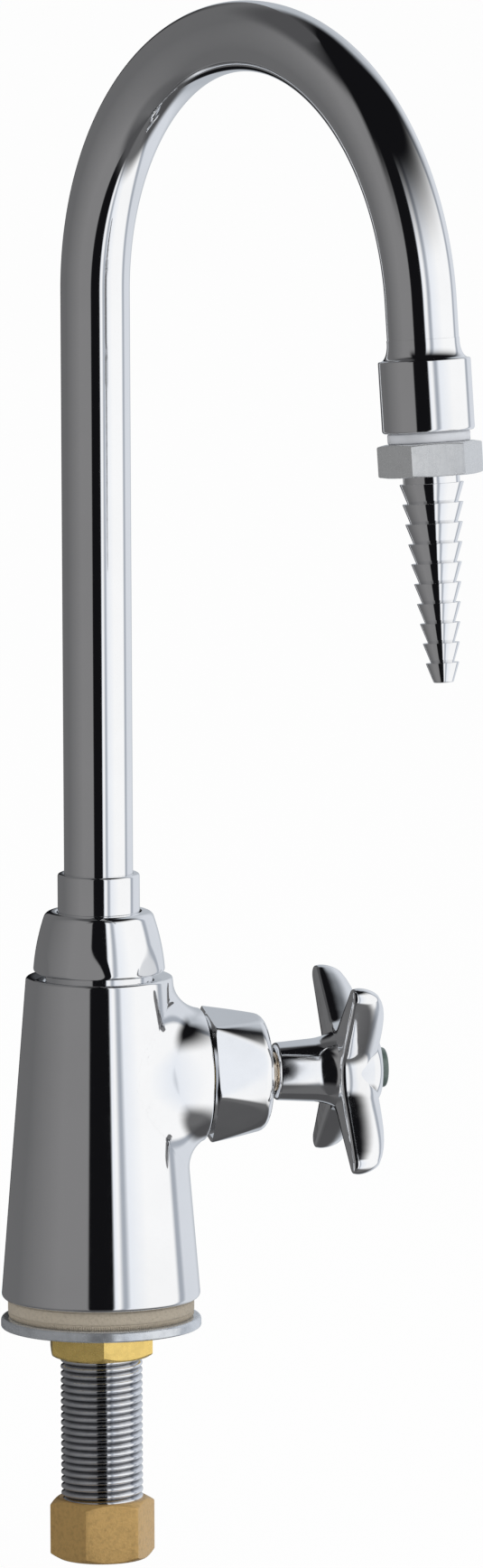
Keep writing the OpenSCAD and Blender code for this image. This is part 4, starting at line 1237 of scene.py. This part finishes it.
class TAP_OT_studio(bpy.types.Operator):
    """Sets the floor, the dome that the chrome reflects, the light and the camera"""

    bl_idname = "tap.studio"
    bl_label = "Studio"

    # Direction from the tap to the camera, round Z
    FACING = math.radians(-102.5)
    # Rows of the soft dome, by the direction in degrees from the camera's, to its right
    BLACK = (0.006, 0.006, 0.007)
    DARK = (0.08, 0.08, 0.083)
    GREY = (0.14, 0.14, 0.143)
    LEFT = (0.222, 0.22, 0.222)
    BLUE_GREY = (0.40, 0.43, 0.48)
    PALE = (0.47, 0.50, 0.54)
    LIGHT = (0.70, 0.73, 0.78)
    SOFT = (0.86, 0.89, 0.94)
    WHITE = (1.0, 1.0, 1.0)
    LEVEL = (
        *((-180, PALE), (-178.5, PALE), (-177, BLACK), (-165, BLACK), (-163, GREY), (-110, GREY)),
        *((-50, LEFT), (-14.5, LEFT), (-12.5, BLACK), (15, BLACK), (16.5, SOFT), (22, WHITE)),
        *((27, BLUE_GREY), (30, BLUE_GREY), (35, SOFT), (58, WHITE), (98, WHITE), (104, BLUE_GREY)),
        *((109, BLUE_GREY), (115, LIGHT), (150, LIGHT), (170, PALE), (180, PALE)),
    )
    UPPER = (
        *((-180, GREY), (-110, GREY), (-60, LEFT), (-32, LEFT), (-22, BLACK)),
        *((112, BLACK), (134, PALE), (180, PALE)),
    )
    HIGH = ((-180, DARK), (-70, DARK), (-25, BLACK), (150, BLACK), (180, DARK))
    LOW = (
        *((-180, DARK), (-60, GREY), (-20, DARK), (15, DARK)),
        *((30, GREY), (80, GREY), (110, DARK), (180, DARK)),
    )
    DOME_CENTRE = Vector((0.0, 0.0, 0.15))
    # How much of the floor's white the camera sees, the rest being its shadow
    FLOOR_GLOW = 0.94
    KEY_SIZE = 0.9
    KEY_PLACE = Vector((0.9, -1.1, 1.3))
    KEY_AIM = Vector((0.0, 0.0, 0.1))
    # The camera, fitted to the photograph
    LENS = 256.46
    SENSOR = 36.0
    ROLL = math.radians(-0.25)
    RIGHT = Vector((0.9763, -0.2164, 0.0))
    DOWN = Vector((-0.0282, -0.1272, -0.99147))
    EYE = Vector((-0.5707, -2.7424, 0.5042))

    def execute(self, context):
        studio = context.scene.tap_studio
        self.floor(studio)
        self.dome(studio)
        self.sky(context.scene, studio)
        self.key(studio)
        self.camera(context.scene)
        context.scene.view_settings.view_transform = "Standard"
        return {"FINISHED"}

    def stage(self, bm, name, material):
        obj = solid(bm, name, material)
        return obj

    def floor(self, studio):
        """A round floor, near white to the camera, that keeps the tap's shadow"""
        bm = bmesh.new()
        bmesh.ops.create_circle(bm, cap_ends=True, segments=128, radius=studio.floor)
        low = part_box("coupling_nut")[0].z - studio.floor_gap
        bmesh.ops.translate(bm, verts=bm.verts[:], vec=(0, 0, low))
        material, tree, shader = blank_material("pale_floor")
        shader.inputs["Base Color"].default_value = (0.95, 0.95, 0.95, 1.0)
        shader.inputs["Roughness"].default_value = 0.9
        shader.inputs["Specular IOR Level"].default_value = 0.0
        seen = node(tree, "LightPath").outputs["Is Camera Ray"]
        share = node(tree, "Math", {0: seen, 1: self.FLOOR_GLOW}, operation="MULTIPLY").outputs[0]
        glow = node(tree, "Emission").outputs[0]
        mix = node(tree, "MixShader", {0: share, 1: shader.outputs[0], 2: glow})
        tree.links.new(mix.outputs[0], tree.nodes["Material Output"].inputs["Surface"])
        self.stage(bm, "floor", material).visible_glossy = False

    def dome(self, studio):
        """A soft dome round the tap, seen only in reflections"""
        bm = bmesh.new()
        centre = self.DOME_CENTRE
        bmesh.ops.create_uvsphere(
            bm, u_segments=96, v_segments=48, radius=studio.dome, matrix=Matrix.Translation(centre)
        )
        material, tree, shader = blank_material("soft_dome")
        tree.nodes.remove(shader)
        place = node(tree, "TexCoord").outputs["Object"]
        away = node(tree, "VectorMath", {0: place, 1: centre}, operation="SUBTRACT").outputs[0]

        def calc(operation, *values):
            return node(tree, "Math", dict(enumerate(values)), operation=operation).outputs[0]

        def along(*way):
            return node(tree, "VectorMath", {0: away, 1: way}, operation="DOT_PRODUCT").outputs["Value"]

        face = self.FACING
        front = along(math.cos(face), math.sin(face), 0.0)
        right = along(-math.sin(face), math.cos(face), 0.0)
        turn = calc("MULTIPLY_ADD", calc("ARCTAN2", right, front), 1 / math.tau, 0.5)
        rise = calc("ARCSINE", calc("DIVIDE", along(0.0, 0.0, 1.0), studio.dome))

        def ramp(stops):
            made = node(tree, "ValToRGB", {0: turn})
            points = made.color_ramp.elements
            points[0].position, points[1].position = 0.0, 1.0
            for point, (_, tint) in zip(points, (stops[0], stops[-1])):
                point.color = (*tint, 1.0)
            for degrees, tint in stops[1:-1]:
                points.new(0.5 + degrees / 360).color = (*tint, 1.0)
            return made.outputs[0]

        tint = ramp(self.LEVEL)
        rows = (
            (self.UPPER, studio.upper_start, studio.upper_end),
            (self.HIGH, studio.upper_end, studio.roof_end),
            (self.LOW, studio.low_start, studio.low_end),
        )
        for stops, start, end in rows:
            span = node(
                tree,
                "MapRange",
                {"Value": rise, "From Min": start, "From Max": end},
                interpolation_type="SMOOTHSTEP",
            )
            mix = node(
                tree, "Mix", {0: span.outputs["Result"], 6: tint, 7: ramp(stops)}, data_type="RGBA"
            )
            tint = mix.outputs[2]
        glow = node(tree, "Emission", {"Color": tint}).outputs[0]
        tree.links.new(glow, tree.nodes["Material Output"].inputs["Surface"])
        obj = self.stage(bm, "soft_dome", material)
        obj.visible_camera = False
        obj.visible_diffuse = False
        obj.visible_shadow = False
        obj.visible_transmission = False

    def sky(self, scene, studio):
        """White to the camera and in reflections, and dimmer on matt surfaces"""
        world = bpy.data.worlds.new("studio_sky")
        scene.world = world
        world.use_nodes = True
        tree = world.node_tree
        shader = next(n for n in tree.nodes if n.type == "BACKGROUND")
        shader.inputs["Color"].default_value = (1.0, 1.0, 1.0, 1.0)
        rays = node(tree, "LightPath").outputs
        seen = rays["Is Camera Ray"]
        for ray in ("Is Glossy Ray", "Is Transmission Ray"):
            seen = node(tree, "Math", {0: seen, 1: rays[ray]}, operation="MAXIMUM").outputs[0]
        strength = node(tree, "MapRange", {"Value": seen, "To Min": studio.fill, "To Max": 1.0})
        tree.links.new(strength.outputs["Result"], shader.inputs["Strength"])

    def key(self, studio):
        lamp = bpy.data.lights.new("key_light", "AREA")
        lamp.energy = studio.key
        lamp.size = self.KEY_SIZE
        obj = bpy.data.objects.new("key_light", lamp)
        turn = (self.KEY_AIM - self.KEY_PLACE).to_track_quat("-Z", "Y").to_matrix().to_4x4()
        obj.matrix_world = Matrix.Translation(self.KEY_PLACE) @ turn
        obj.visible_glossy = False
        bpy.context.scene.collection.objects.link(obj)

    def camera(self, scene):
        data = bpy.data.cameras.new("camera")
        data.lens = self.LENS
        data.sensor_width = self.SENSOR
        cos, sin = math.cos(self.ROLL), math.sin(self.ROLL)
        side = (self.RIGHT * cos - self.DOWN * sin).normalized()
        up = -(self.RIGHT * sin + self.DOWN * cos).normalized()
        back = side.cross(up).normalized()
        turn = Matrix((side, up, back)).transposed().to_4x4()
        obj = bpy.data.objects.new("camera", data)
        obj.matrix_world = Matrix.Translation(self.EYE) @ turn
        scene.collection.objects.link(obj)
        scene.camera = obj


GROUPS = (
    ("tap_spout", SpoutSizes),
    ("tap_body", BodySizes),
    ("tap_foot", FootSizes),
    ("tap_colours", TapColours),
    ("tap_studio", StudioSizes),
)
OPERATORS = (
    TAP_OT_gooseneck,
    TAP_OT_spout_joint,
    TAP_OT_outlet,
    TAP_OT_body,
    TAP_OT_bonnet,
    TAP_OT_handle,
    TAP_OT_below_deck,
    TAP_OT_inner_parts,
    TAP_OT_studio,
)


class TAP_PT_panel(bpy.types.Panel):
    """Lists the tap's pieces and its sizes"""

    bl_label = "Gooseneck tap"
    bl_idname = "TAP_PT_panel"
    bl_space_type = "VIEW_3D"
    bl_region_type = "UI"
    bl_category = "Tap"

    def draw(self, context):
        for operator in OPERATORS:
            self.layout.operator(operator.bl_idname)
        for name, group in GROUPS:
            box = self.layout.box()
            for key in group.__annotations__:
                box.prop(getattr(context.scene, name), key)


def register():
    for name, group in GROUPS:
        bpy.utils.register_class(group)
        setattr(bpy.types.Scene, name, PointerProperty(type=group))
    for cls in (*OPERATORS, TAP_PT_panel):
        bpy.utils.register_class(cls)


def unregister():
    for cls in (TAP_PT_panel, *reversed(OPERATORS)):
        bpy.utils.unregister_class(cls)
    for name, group in reversed(GROUPS):
        delattr(bpy.types.Scene, name)
        bpy.utils.unregister_class(group)


def main():
    register()
    bpy.ops.tap.studio()
    bpy.ops.tap.gooseneck()
    bpy.ops.tap.spout_joint()
    bpy.ops.tap.outlet()
    bpy.ops.tap.body()
    bpy.ops.tap.bonnet()
    bpy.ops.tap.handle()
    bpy.ops.tap.below_deck()
    bpy.ops.tap.inner_parts()


if __name__ == "__main__":
    main()
